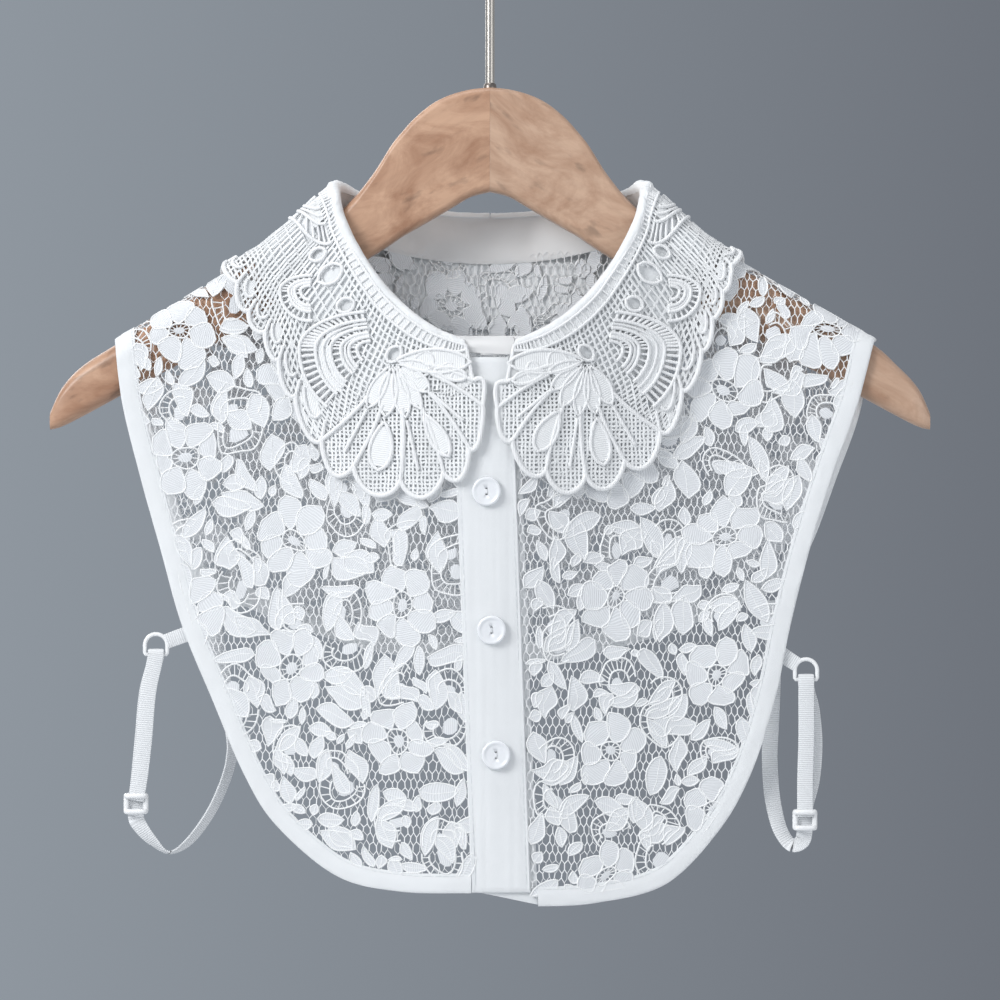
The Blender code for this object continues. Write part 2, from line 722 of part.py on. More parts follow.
def strip(name, left_of_middle, right_of_middle, top_z, hem_z, low, high):
    columns, rows = STRIP_COLUMNS, STRIP_ROWS

    def face(level):
        def point(column, row):
            z = top_z + (hem_z - top_z) * row / rows
            x = placket_middle(z) - left_of_middle + (left_of_middle + right_of_middle) * column / columns
            return on_cloth(x, drop_to(x, z), level)
        return point

    wall(name, columns, rows, face(low), face(high), "cotton")


def button(name, z):
    """Round button with a raised rim, turned on the strip's own slope."""
    profile = ((0, 0), (BUTTON_RADIUS - BUTTON_FOOT, 0), (BUTTON_RADIUS, BUTTON_BELLY),
               (BUTTON_RADIUS - BUTTON_SHOULDER, BUTTON_THICK - BUTTON_SHOULDER / 2),
               (BUTTON_RADIUS - BUTTON_RIM, BUTTON_THICK),
               (BUTTON_RADIUS - BUTTON_RIM - BUTTON_DISH, BUTTON_THICK - BUTTON_DISH),
               (0, BUTTON_THICK - BUTTON_DISH))
    bm = bmesh.new()
    verts = [bm.verts.new((radius, 0, height)) for radius, height in profile]
    edges = [bm.edges.new(pair) for pair in zip(verts, verts[1:])]
    bmesh.ops.spin(bm, geom=verts + edges, axis=(0, 0, 1), cent=(0, 0, 0),
                   angle=math.tau, steps=BUTTON_FACETS, use_merge=True)
    bmesh.ops.remove_doubles(bm, verts=bm.verts, dist=0.01 * MM)
    x = placket_middle(z)
    drop = drop_to(x, z)
    facing = -outward(cloth_surface, x, drop)
    seat = cloth_surface(x, drop) + facing * (PLACKET_TO + CLEAR)
    turn = facing.to_track_quat("Z", "Y").to_matrix().to_4x4()
    bmesh.ops.transform(bm, matrix=Matrix.Translation(seat) @ turn, verts=bm.verts)
    close_mesh(name, bm, "button")


# Straps

def strap_band(name, hand):
    rows = STRAP_PATH[hand]

    def section(side, station):
        place = station / STRAP_STATIONS * (len(rows) - 1)
        here = curve_through(rows, place)
        ahead = Vector(curve_through(rows, min(place + CURVE_STEP, len(rows) - 1))[:3])
        behind = Vector(curve_through(rows, max(place - CURVE_STEP, 0))[:3])
        along = (ahead - behind).normalized()
        wide = Vector((1, 0, 0)) if abs(along.y) > 0.7 else along.cross(Vector((0, 1, 0)))
        wide = (wide - along * wide.dot(along)).normalized()
        if wide.x < 0:
            wide = -wide
        wide = Matrix.Rotation(math.radians(here[3]), 3, along) @ wide
        thick = along.cross(wide).normalized()
        across, through = ((1, 1), (-1, 1), (-1, -1), (1, -1))[side]
        return (Vector(here[:3]) * MM + wide * across * STRAP_WIDTH / 2
                + thick * through * STRAP_THICK / 2)

    loft(name, 4, STRAP_STATIONS, section, "elastic")


def strap_ring(name, hand):
    """Ring with a straight bar below, where the band turns."""
    centre_x, centre_z = RING_CENTRE[hand]
    arch = 12
    points = [(-RING_HALF, -RING_BAR_DROP), (0, -RING_BAR_DROP), (RING_HALF, -RING_BAR_DROP)]
    for index in range(arch + 1):
        angle = math.pi * index / arch
        points.append((RING_HALF * math.cos(angle), RING_HALF * math.sin(angle)))
    data = bpy.data.curves.new(name, "CURVE")
    data.dimensions = "3D"
    data.bevel_depth = RING_WIRE
    data.bevel_resolution = 1
    spline = data.splines.new("POLY")
    spline.points.add(len(points) - 1)
    spline.use_cyclic_u = True
    for item, (x, z) in zip(spline.points, points):
        item.co = (centre_x + x, STRAP_Y, centre_z + z, 1)
    add_object(name, data, "plastic")


def strap_tab(name, hand):
    """Short doubled band from behind the binding to the ring."""
    start = Vector((TAB_START[hand][0], STRAP_Y, TAB_START[hand][1]))
    centre = Vector((RING_CENTRE[hand][0], STRAP_Y, RING_CENTRE[hand][1]))
    reach = (start - centre).normalized()
    end = centre + reach * (RING_HALF + RING_WIRE + CLEAR)
    wide = reach.cross(Vector((0, 1, 0))).normalized()
    stations = 3

    def section(side, station):
        across, through = ((1, 1), (-1, 1), (-1, -1), (1, -1))[side]
        return (start.lerp(end, station / stations) + wide * across * STRAP_WIDTH / 2
                + Vector((0, through * TAB_THICK / 2, 0)))

    loft(name, 4, stations, section, "elastic")


def strap_slider(name, hand):
    """Flat sleeve that both runs of the band pass through."""
    x, z = SLIDER_CENTRE[hand]
    turn = Matrix.Translation((x, STRAP_Y, z)) @ Matrix.Rotation(math.radians(SLIDER_TILT[hand]), 4, "Y")
    outer = (SLIDER_WIDTH, SLIDER_DEPTH, SLIDER_HEIGHT)
    inner = (SLIDER_WIDTH - 2 * SLIDER_WALL_SIDE, SLIDER_DEPTH - 2 * SLIDER_WALL_FACE, 3 * SLIDER_HEIGHT)
    body, cutter = (block(part, size, turn) for part, size in ((name, outer), (name + "_slot", inner)))
    cut(body, cutter)


def block(name, size, turn):
    bm = bmesh.new()
    bmesh.ops.create_cube(bm, size=1)
    bmesh.ops.scale(bm, vec=size, verts=bm.verts)
    bmesh.ops.transform(bm, matrix=turn, verts=bm.verts)
    return close_mesh(name, bm, "plastic")


def cut(body, cutter):
    cutter.hide_render = True
    cutter.display_type = "WIRE"
    change = body.modifiers.new("cut", "BOOLEAN")
    change.operation = "DIFFERENCE"
    change.object = cutter


# Hanger

def hanger_half(name, hand):
    half_facets = HANGER_FACETS // 4

    def section(side, station):
        row_x, row_top, row_bottom, row_thick = HANGER[station]
        x, bottom = row_x * MM, row_bottom * MM
        top = ridge_z(hand * x) - HANGER_UNDER if row_top is None else row_top * MM
        half_depth = row_thick * MM / 2
        radius = min(HANGER_ROUND, half_depth - 0.1 * MM, (top - bottom) / 2 - 0.1 * MM)
        corner, share = divmod(side, half_facets)
        angle = math.pi / 2 * (corner + share / (half_facets - 1))
        centre_y = (half_depth - radius) * (1 if corner in (0, 3) else -1)
        centre_z = (top - radius) if corner in (0, 1) else (bottom + radius)
        return Vector((hand * x, centre_y + radius * math.cos(angle),
                       centre_z + radius * math.sin(angle)))

    return loft(name, HANGER_FACETS, len(HANGER) - 1, section, "wood")


def socket(name):
    bm = bmesh.new()
    bmesh.ops.create_cone(bm, cap_ends=True, segments=12, radius1=SOCKET_RADIUS,
                          radius2=SOCKET_RADIUS, depth=SOCKET_DEPTH)
    bmesh.ops.translate(bm, vec=(0, 0, SOCKET_FOOT_Z + SOCKET_DEPTH / 2), verts=bm.verts)
    return close_mesh(name, bm, "wood")


def hook():
    radius = CROOK_INNER + WIRE_RADIUS
    centre_z = -CROOK_INNER
    points = []
    for index in range(CROOK_STEPS + 1):
        turn = math.radians(CROOK_TIP_TURN + (CROOK_END_TURN - CROOK_TIP_TURN) * index / CROOK_STEPS)
        points.append(Vector((radius * math.cos(turn), 0, centre_z + radius * math.sin(turn))))
    end = points[-1]
    leaving = (points[-1] - points[-2]).normalized()
    shank_top = Vector((0, 0, SHANK_TOP_Z))
    pull = (shank_top - end).length * 0.5
    neck = (end, end + leaving * pull, shank_top + Vector((0, 0, pull)), shank_top)
    for index in range(1, BEND_STEPS + 1):
        share = index / BEND_STEPS
        points.append(neck[0] * (1 - share) ** 3 + neck[1] * 3 * share * (1 - share) ** 2
                      + neck[2] * 3 * share ** 2 * (1 - share) + neck[3] * share ** 3)
    points.append(Vector((0, 0, SHANK_FOOT_Z)))
    data = bpy.data.curves.new("hook", "CURVE")
    data.dimensions = "3D"
    data.bevel_depth = WIRE_RADIUS
    data.bevel_resolution = 2
    data.use_fill_caps = True
    spline = data.splines.new("POLY")
    spline.points.add(len(points) - 1)
    for item, point in zip(spline.points, points):
        item.co = (*point, 1)
    add_object("hook", data, "steel")


def build():
    clear_scene()
    for hand, side in ((LEFT, "left"), (RIGHT, "right")):
        front_panel(f"front_{side}_panel", hand)
        front_binding(f"binding_front_{side}", hand)
        lace_collar(f"lace_collar_{side}", hand)
        under_collar(f"under_collar_{side}", hand)
        strap_tab(f"strap_tab_{side}", hand)
        strap_ring(f"strap_ring_{side}", hand)
        strap_band(f"strap_band_{side}", hand)
        strap_slider(f"strap_slider_{side}", hand)
        cut(hanger_half(f"hanger_{side}", hand), socket(f"socket_{side}"))
    back_panel()
    back_binding()
    collar_stand()
    half = PLACKET_WIDTH / 2
    strip("placket", half, half, PLACKET_TOP_Z, PLACKET_HEM_Z, PLACKET_FROM, PLACKET_TO)
    strip("under_placket", half - UNDER_PLACKET_HIDES, half + UNDER_PLACKET_SHOWS,
          PLACKET_TOP_Z, UNDER_PLACKET_HEM_Z, UNDER_PLACKET_FROM, UNDER_PLACKET_TO)
    for number, z in enumerate(BUTTON_Z, start=1):
        button(f"button_{number}", z)
    hook()


build()
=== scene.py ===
# Lace dickey collar with side straps, hung on a wooden hanger
import math

import bmesh
import bpy
from mathutils import Matrix, Vector, noise


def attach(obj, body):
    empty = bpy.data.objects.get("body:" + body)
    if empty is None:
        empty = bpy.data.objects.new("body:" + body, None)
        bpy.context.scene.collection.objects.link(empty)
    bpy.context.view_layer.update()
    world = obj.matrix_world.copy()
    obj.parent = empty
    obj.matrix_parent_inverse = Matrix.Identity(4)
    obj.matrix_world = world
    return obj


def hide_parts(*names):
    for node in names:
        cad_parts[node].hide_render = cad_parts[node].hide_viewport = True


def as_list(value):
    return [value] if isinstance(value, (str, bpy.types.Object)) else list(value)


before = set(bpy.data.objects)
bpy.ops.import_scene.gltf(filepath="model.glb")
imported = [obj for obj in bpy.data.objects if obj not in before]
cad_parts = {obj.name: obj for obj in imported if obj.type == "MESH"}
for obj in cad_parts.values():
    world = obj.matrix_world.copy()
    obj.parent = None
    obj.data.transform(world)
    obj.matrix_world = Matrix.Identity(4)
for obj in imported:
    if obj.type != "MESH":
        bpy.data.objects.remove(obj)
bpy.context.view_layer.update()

# Driving dimensions, in metres. The origin is the inner top of the hook's crook,
# +X is the viewer's right, +Y points away from the viewer and +Z is up.
MM = 0.001
CLEAR = 0.3 * MM
SEAM = CLEAR / 2
LEFT, RIGHT = -1, 1
FRONT, BACK = 1, -1
SIDE_NAMES = {LEFT: "left", RIGHT: "right"}

# The ridge: where the cloth folds over the hanger's arms
NECK_HALF = 83 * MM
NECK_RIDGE_Z = -157.6 * MM
SHOULDER_Z = -205 * MM
SHOULDER_HALF = {LEFT: 161.6 * MM, RIGHT: 166.4 * MM}
RIDGE_SLOPE = (NECK_RIDGE_Z - SHOULDER_Z) / (SHOULDER_HALF[LEFT] - NECK_HALF)
RIDGE_RADIUS = 8.5 * MM
RIDGE_QUARTER = RIDGE_RADIUS * math.pi / 2
RIDGE_JOIN = 12 * MM

# How far the cloth stands off between neck and hem
FRONT_SWELL, FRONT_SPREAD = 22 * MM, 62 * MM
BACK_SWELL, BACK_SPREAD = 13 * MM, 70 * MM
SWELL_RUN = 40 * MM
SWELL_TOP_Z, SWELL_HEM_Z, SWELL_HEM_SHARE = -215 * MM, -440 * MM, 0.45

# Cloth walls
BINDING_THICK, BINDING_WIDTH = 1.8 * MM, 8.5 * MM
STAND_THICK = 1.2 * MM
UNDER_COLLAR_LIFT, UNDER_COLLAR_THICK = 1.8 * MM, 1.0 * MM
LACE_LIFT, LACE_THICK = 3.6 * MM, 1.0 * MM
NET_THICK = 0.45 * MM

# Neck seam and collar fold, by the turn round the neck: 0 is front, 180 is back
SEAM_FRONT_Z, SEAM_BACK_Z = -212 * MM, -171 * MM
SEAM_SIDE_Z = -152.75 * MM
FOLD_HALF, FOLD_FRONT_Y, FOLD_BACK_Y = 66 * MM, 30 * MM, 22 * MM
FOLD_FRONT_Z, FOLD_SIDE_Z, FOLD_BACK_Z = -208 * MM, -138 * MM, -150 * MM
NECK_TRIM = 1.4 * MM
FOLD_ROUND = 14

# Button strip
PLACKET_TOP_Z, PLACKET_HEM_Z = -212.8 * MM, -441.5 * MM
PLACKET_WIDTH, PLACKET_TOP_X, PLACKET_SLANT = 25.4 * MM, -3.4 * MM, 0.0354
PLACKET_THICK = 1.8 * MM
UNDER_PLACKET_HEM_Z = -446.8 * MM
UNDER_PLACKET_LIFT, UNDER_PLACKET_THICK = -1.8 * MM, 1.2 * MM
UNDER_PLACKET_SHOWS = 3.0 * MM
BUTTON_RADIUS, BUTTON_THICK = 6.3 * MM, 2.6 * MM
BUTTON_Z = (-269.7 * MM, -328.7 * MM, -382.2 * MM)

# Armhole and hem of a front, from the shoulder down to the button strip:
# left x, left z, right x, right z
FRONT_EDGE = (
    (161.6, -200.2, 166.4, -200.2),
    (158.2, -230.5, 158.6, -230.5),
    (150.4, -262.8, 147.2, -262.8),
    (141.4, -295.1, 137.2, -295.1),
    (132.3, -327.4, 129.0, -327.4),
    (119.0, -359.8, 122.2, -359.8),
    (105.2, -392.1, 111.6, -392.1),
    (91.4, -413.6, 97.5, -416.5),
    (65.7, -434.8, 75.0, -438.6),
    (38.8, -441.2, 45.0, -446.2),
    (9.2, -441.7, 21.8, -447.4),
)

# Armhole and hem of the back, from the shoulder down to its middle, in the same columns
BACK_EDGE = (
    (161.6, -200.2, 166.4, -200.2),
    (157.0, -235.0, 160.2, -235.0),
    (147.0, -265.0, 149.6, -265.0),
    (138.0, -292.0, 139.5, -292.0),
    (129.0, -308.0, 130.0, -308.0),
    (110.0, -318.0, 110.0, -318.0),
    (75.0, -332.0, 75.0, -332.0),
    (38.0, -341.5, 38.0, -341.5),
    (0.0, -345.0, 0.0, -345.0),
)

# Soft folds that the hung cloth keeps: face, middle x, spread, depth, top z, foot z
FOLDS = (
    (FRONT, -104, 15, 1.6, -225, -400),
    (FRONT, -58, 12, 1.3, -290, -425),
    (FRONT, 62, 13, 1.5, -285, -430),
    (FRONT, 108, 14, 1.8, -225, -405),
    (BACK, -70, 16, 1.8, -215, -325),
    (BACK, 52, 18, 1.8, -220, -330),
    (BACK, 112, 13, 1.4, -215, -300),
)

# Outer edge of the lace collar, a row for each notch between two scallops:
# the turn round the neck, then x and the drop below the ridge on each half
COLLAR_EDGE = (
    (7, 2.0, 132, 2.2, 130),
    (12, 7.3, 149, 8.2, 142),
    (18, 18.1, 154, 22.6, 148),
    (26, 37.0, 147, 40.0, 141),
    (35, 58.2, 128, 57.3, 125),
    (45, 72.4, 108, 73.3, 103),
    (55, 84.0, 81, 82.8, 79),
    (64, 91.4, 60, 91.4, 56),
    (72, 97.4, 44, 96.1, 39),
    (80, 105.0, 30, 101.0, 24),
    (86, 110.5, 14, 104.5, 11),
    (90, 114.0, 0, 107.0, 0),
    (95, 114.0, -14, 108.0, -14),
    (102, 112.0, -28, 107.0, -28),
    (112, 104.0, -42, 101.0, -42),
    (125, 88.0, -50, 88.0, -50),
    (140, 62.0, -68, 62.0, -68),
    (155, 36.0, -84, 36.0, -84),
    (168, 16.0, -98, 16.0, -98),
    (180, 0.15, -108, 0.15, -108),
)
SCALLOPS = len(COLLAR_EDGE) - 1
SCALLOP_DEPTH = 0.085
LAND = 0.5
UNDER_REACH = 0.62
WINDOW_SCALLOPS = (2, 4, 6, 8, 10, 12, 14, 16)

# Wooden hanger: x, upper edge (none where it lies just under the cloth), lower edge, thickness
HANGER = (
    (0.15, -96.0, -140.8, 12.6),
    (8.4, -96.9, -143.0, 12.6),
    (17.0, -99.2, -148.0, 12.6),
    (24.6, -102.9, -152.5, 12.6),
    (32.1, -108.9, -156.8, 12.6),
    (37.7, -115.0, -160.0, 12.6),
    (42.5, -121.0, -163.3, 12.6),
    (50.2, -133.1, -168.3, 12.6),
    (60.0, -145.0, -174.0, 12.6),
    (70.0, -153.2, -179.5, 12.6),
    (83.0, None, -186.8, 12.6),
    (120.0, None, -207.2, 12.6),
    (161.6, None, -230.0, 12.4),
    (176.0, -216.2, -237.8, 11.4),
    (184.5, -225.5, -242.0, 9.6),
    (189.5, -236.0, -243.3, 6.0),
)
HANGER_UNDER = 1.9 * MM
HANGER_ROUND = 6.0 * MM

# Wire hook
WIRE_RADIUS = 2.0 * MM
CROOK_INNER = 20 * MM
CROOK_TIP_TURN, CROOK_END_TURN = 200, -48
SHANK_TOP_Z, SHANK_FOOT_Z = -56 * MM, -111 * MM

# Side straps: elastic band, ring and slider
STRAP_WIDTH, STRAP_THICK = 6.8 * MM, 1.0 * MM
TAB_THICK = 1.4 * MM
STRAP_Y = -6.6 * MM
RING_WIRE, RING_HALF, RING_BAR_DROP = 0.9 * MM, 4.8 * MM, 3.9 * MM
RING_CENTRE = {LEFT: (-143.5 * MM, -336.0 * MM), RIGHT: (135.8 * MM, -346.8 * MM)}
TAB_START = {LEFT: (-127.0 * MM, -330.0 * MM), RIGHT: (124.5 * MM, -339.5 * MM)}
SLIDER_CENTRE = {LEFT: (-152.1 * MM, -404.0 * MM), RIGHT: (135.3 * MM, -411.0 * MM)}
SLIDER_WIDTH, SLIDER_HEIGHT, SLIDER_DEPTH = 10.6 * MM, 9.0 * MM, 7.8 * MM

# Band from the slider up round the ring's bar, down again and round to the back:
# x, y, z in mm and the turn of its face away from the viewer in degrees
STRAP_PATH = {
    LEFT: (
        (-152.0, -8.4, -402.5, 0),
        (-150.2, -8.4, -392.0, 0),
        (-148.4, -8.4, -376.0, 0),
        (-146.8, -8.4, -357.0, 0),
        (-144.4, -8.5, -345.0, 0),
        (-143.5, -8.5, -340.4, 0),
        (-143.5, -7.9, -338.6, 0),
        (-143.5, -6.6, -338.0, 0),
        (-143.5, -5.3, -338.6, 0),
        (-143.5, -4.7, -340.4, 0),
        (-144.6, -4.7, -345.0, 0),
        (-147.6, -4.6, -357.0, 0),
        (-149.4, -4.6, -376.0, 0),
        (-150.9, -4.8, -392.0, 0),
        (-151.8, -4.8, -400.0, 0),
        (-152.3, -4.8, -409.4, 0),
        (-150.4, -4.6, -414.0, 18),
        (-145.0, -3.6, -420.5, 50),
        (-138.2, -1.5, -425.4, 80),
        (-129.6, 1.0, -420.6, 62),
        (-120.9, 3.2, -409.0, 58),
        (-114.8, 5.0, -396.0, 56),
        (-111.8, 6.0, -385.0, 52),
        (-111.6, 6.4, -374.0, 40),
        (-115.6, 6.8, -350.0, 10),
        (-121.4, 7.0, -317.0, 0),
    ),
    RIGHT: (
        (135.3, -8.4, -409.5, 0),
        (135.3, -8.4, -394.0, 0),
        (135.8, -8.4, -376.0, 0),
        (135.8, -8.4, -361.0, 0),
        (135.8, -8.5, -356.0, 0),
        (135.8, -8.5, -351.2, 0),
        (135.8, -7.9, -349.4, 0),
        (135.8, -6.6, -348.8, 0),
        (135.8, -5.3, -349.4, 0),
        (135.8, -4.7, -351.2, 0),
        (136.4, -4.7, -356.0, 0),
        (138.4, -4.4, -364.0, 0),
        (139.6, -4.2, -378.0, 0),
        (138.6, -4.4, -393.0, 0),
        (135.8, -4.8, -404.5, 0),
        (135.3, -4.8, -410.0, 0),
        (135.3, -4.7, -416.4, 0),
        (134.0, -4.2, -420.6, 20),
        (129.6, -2.2, -422.0, 35),
        (125.4, -0.2, -416.4, 24),
        (123.0, 1.5, -408.4, 12),
        (121.4, 3.0, -398.0, 0),
        (120.8, 4.5, -384.0, 0),
        (121.4, 5.5, -372.0, 0),
        (122.0, 6.4, -359.0, 0),
        (122.4, 6.8, -345.0, 0),
        (122.6, 7.0, -317.0, 0),
    ),
}


# Curves and the cloth's own surface

def smooth_step(value):
    value = min(max(value, 0.0), 1.0)
    return value * value * (3 - 2 * value)


def curve_through(rows, place):
    """Point on a smooth curve through the rows, with place from 0 to the last row."""
    last = len(rows) - 1
    index = min(int(place), last - 1)
    share = place - index
    before = rows[max(index - 1, 0)]
    start = rows[index]
    end = rows[index + 1]
    after = rows[min(index + 2, last)]
    return tuple(
        0.5 * (2 * b + (c - a) * share + (2 * a - 5 * b + 4 * c - d) * share ** 2
               + (3 * b - 3 * c + d - a) * share ** 3)
        for a, b, c, d in zip(before, start, end, after)
    )


def ridge_slope(hand):
    return (NECK_RIDGE_Z - SHOULDER_Z) / (SHOULDER_HALF[hand] - NECK_HALF)


def ridge_arms(x):
    """Both arms of the ridge drawn on to the middle, where they don't meet at one height."""
    return NECK_RIDGE_Z - ridge_slope(RIGHT if x > 0 else LEFT) * (abs(x) - NECK_HALF)


def ridge_z(x):
    """The ridge, with its corner rounded off in the middle of the neck opening."""
    if abs(x) >= RIDGE_JOIN:
        return ridge_arms(x)
    share = (x + RIDGE_JOIN) / (2 * RIDGE_JOIN)
    swing = share * share * (3 - 2 * share)
    rise = 2 * RIDGE_JOIN * share * (1 - share)
    level = ridge_arms(-RIDGE_JOIN) * (1 - swing) + ridge_arms(RIDGE_JOIN) * swing
    return level + rise * (ridge_slope(LEFT) * (1 - share) + ridge_slope(RIGHT) * share)


def drop_to(x, z):
    """Length of cloth from the ridge down to height z."""
    return ridge_z(x) + RIDGE_QUARTER - RIDGE_RADIUS - z


def height_at(x, drop):
    return ridge_z(x) + RIDGE_QUARTER - RIDGE_RADIUS - abs(drop)


def stand_off(x, drop):
    face = FRONT if drop > 0 else BACK
    z = height_at(x, drop)
    swell, spread = (FRONT_SWELL, FRONT_SPREAD) if face == FRONT else (BACK_SWELL, BACK_SPREAD)
    fall = smooth_step((SWELL_TOP_Z - z) / (SWELL_TOP_Z - SWELL_HEM_Z))
    depth = swell * math.exp(-((x / spread) ** 2)) * (1 - (1 - SWELL_HEM_SHARE) * fall)
    for fold_face, middle, width, rise, top, foot in FOLDS:
        if fold_face != face:
            continue
        share = (top * MM - z) / ((top - foot) * MM)
        if 0 < share < 1:
            across = math.exp(-(((x - middle * MM) / (width * MM)) ** 2))
            depth += rise * MM * across * math.sin(math.pi * share) ** 2
    return depth * smooth_step((abs(drop) - RIDGE_QUARTER) / SWELL_RUN)


def cloth_surface(x, drop):
    """Point of the hung cloth, with the drop counted over the ridge, front positive."""
    face = FRONT if drop > 0 else BACK
    over = min(abs(drop), RIDGE_QUARTER) / RIDGE_RADIUS
    y = RIDGE_RADIUS * math.sin(over) + stand_off(x, drop)
    z = ridge_z(x) - RIDGE_RADIUS * (1 - math.cos(over))
    if abs(drop) > RIDGE_QUARTER:
        z = height_at(x, drop)
    return Vector((x, -face * y, z))


class Ground:
    """A curved surface, sampled once on an even grid and read between its points."""

    def __init__(self, point, first, last, steps, facing):
        self.first, self.steps = first, steps
        self.stride = tuple((end - start) / count for start, end, count in zip(first, last, steps))
        self.spots = [[point(first[0] + self.stride[0] * i, first[1] + self.stride[1] * j)
                       for j in range(steps[1] + 1)] for i in range(steps[0] + 1)]
        self.normals = [[self.square_to(i, j) * facing for j in range(steps[1] + 1)]
                        for i in range(steps[0] + 1)]

    def square_to(self, i, j):
        columns, rows = self.steps
        along = self.spots[min(i + 1, columns)][j] - self.spots[max(i - 1, 0)][j]
        down = self.spots[i][min(j + 1, rows)] - self.spots[i][max(j - 1, 0)]
        return along.cross(down).normalized()

    def at(self, a, b, lift=0.0):
        """Point above the surface at a place on it."""
        u = (a - self.first[0]) / self.stride[0]
        v = (b - self.first[1]) / self.stride[1]
        i = min(max(int(u), 0), self.steps[0] - 1)
        j = min(max(int(v), 0), self.steps[1] - 1)
        s, t = u - i, v - j
        near, far = self.spots[i], self.spots[i + 1]
        spot = near[j].lerp(near[j + 1], t).lerp(far[j].lerp(far[j + 1], t), s)
        near, far = self.normals[i], self.normals[i + 1]
        normal = near[j].lerp(near[j + 1], t).lerp(far[j].lerp(far[j + 1], t), s)
        return spot + normal * lift

    def flat_round(self, a, b, turn=0.0, size=1.0):
        """Turns flat metres round a place on the surface into places on it."""
        here = self.at(a, b)
        along = (self.at(a + self.stride[0], b) - here) / self.stride[0]
        down = (self.at(a, b + self.stride[1]) - here) / self.stride[1]
        across = along.normalized()
        slip = down.dot(across)
        fall = (down - across * slip).length
        stretch = along.length
        cos, sin = math.cos(math.radians(turn)) * size, math.sin(math.radians(turn)) * size

        def place(p, q):
            east, south = p * cos - q * sin, p * sin + q * cos
            lower = south / fall
            return a + (east - lower * slip) / stretch, b + lower
        return place


# Neck, collar and edges

def edge_rows(table, hand):
    start = 0 if hand == LEFT else 2
    rows = [(hand * row[start] * MM, row[start + 1] * MM) for row in table]
    rows[0] = (rows[0][0], height_at(rows[0][0], 0))
    return rows


def edge_point(table, hand, share, inset):
    """Place on a panel's outline, moved in by the inset, as x and height."""
    rows = edge_rows(table, hand)
    last = len(rows) - 1
    place = share * last
    step = 0.02
    x, z = curve_through(rows, place)
    ahead = curve_through(rows, min(place + step, last))
    behind = curve_through(rows, max(place - step, 0))
    along = Vector((ahead[0] - behind[0], ahead[1] - behind[1])).normalized()
    inward = Vector((-along.y, along.x)) * -hand
    top_x = rows[0][0]
    near_ridge = max(0.0, 1 - share * last)
    moved_x = x + inward.x * inset
    lean = (height_at(moved_x, 0) - height_at(top_x, 0)) * near_ridge
    return moved_x, z + inward.y * inset * (1 - near_ridge) + lean


def neck_turn(turn, out=0.0):
    """Neck seam at a turn round the neck, as half-width x and height."""
    angle = math.radians(turn)
    rise = 0.5 * (1 - math.cos(angle)) + 0.5 * math.sin(angle) ** 2
    x = (NECK_HALF + out) * math.sin(angle)
    if turn <= 90:
        z = SEAM_FRONT_Z + (SEAM_SIDE_Z - SEAM_FRONT_Z) * rise
    else:
        z = SEAM_BACK_Z + (SEAM_SIDE_Z - SEAM_BACK_Z) * math.sin(angle) ** 2
    return x, z - out * (abs(math.cos(angle)) + RIDGE_SLOPE * math.sin(angle))


def neck_drop(hand, turn, out=0.0):
    half_x, z = neck_turn(turn, out)
    x = hand * max(half_x, SEAM)
    drop = max(drop_to(x, z), 0.0)
    return x, drop if turn <= 90 else -drop


def placket_middle(z):
    return PLACKET_TOP_X + PLACKET_SLANT * (PLACKET_TOP_Z - z)


def fold_point(hand, turn):
    """Fold of the collar, rounded where it passes over the shoulder."""
    near = [sharp_fold(hand, max(turn + side, 0)) for side in (-FOLD_ROUND, 0, 0, FOLD_ROUND)]
    middle = sum(near, Vector()) / len(near)
    middle.x = hand * max(hand * middle.x, SEAM)
    return middle


def sharp_fold(hand, turn):
    angle = math.radians(turn)
    x = hand * FOLD_HALF * math.sin(angle)
    if turn <= 90:
        rise = 0.5 * (1 - math.cos(angle)) + 0.5 * math.sin(angle) ** 2
        z = FOLD_FRONT_Z + (FOLD_SIDE_Z - FOLD_FRONT_Z) * rise
        y = -FOLD_FRONT_Y * math.cos(angle)
    else:
        z = FOLD_BACK_Z + (FOLD_SIDE_Z - FOLD_BACK_Z) * math.sin(angle) ** 2
        y = -FOLD_BACK_Y * math.cos(angle)
    return Vector((x, y, z))


def collar_row(hand, station):
    start = 1 if hand == LEFT else 3
    rows = [(row[0], row[start], row[start + 1]) for row in COLLAR_EDGE]
    return curve_through(rows, min(max(station, 0.0), float(SCALLOPS)))


def collar_base(hand, station, reach):
    """Collar before its layers: falls from the fold and lands on the cloth."""
    turn, edge_x, edge_drop = collar_row(hand, station)
    neck_x, start_drop = neck_drop(hand, turn, NECK_TRIM)
    x = neck_x + (hand * max(edge_x * MM, SEAM) - neck_x) * reach
    corner = ridge_arms(edge_x * hand * MM) - ridge_z(edge_x * hand * MM)
    edge_drop = edge_drop * MM - math.copysign(corner, edge_drop)
    drop = start_drop + (edge_drop - start_drop) * reach
    rise = fold_point(hand, turn) - cloth.at(*neck_drop(hand, turn))
    return cloth.at(x, drop) + rise * (1 - smooth_step(reach / LAND))


def scallop(station):
    """Share of the reach lost at a notch between two scallops."""
    return SCALLOP_DEPTH * (1 - math.sin(math.pi * (station % 1.0)) ** 0.6)


cloth = Ground(cloth_surface, (-0.172, -0.2), (0.172, 0.3), (120, 250), -1)
collars = {
    hand: Ground(lambda a, b, hand=hand: collar_base(hand, a, b),
                 (0.0, 0.0), (float(SCALLOPS), 1.0), (SCALLOPS * 8, 40), -hand)
    for hand in (LEFT, RIGHT)
}


# Finishes

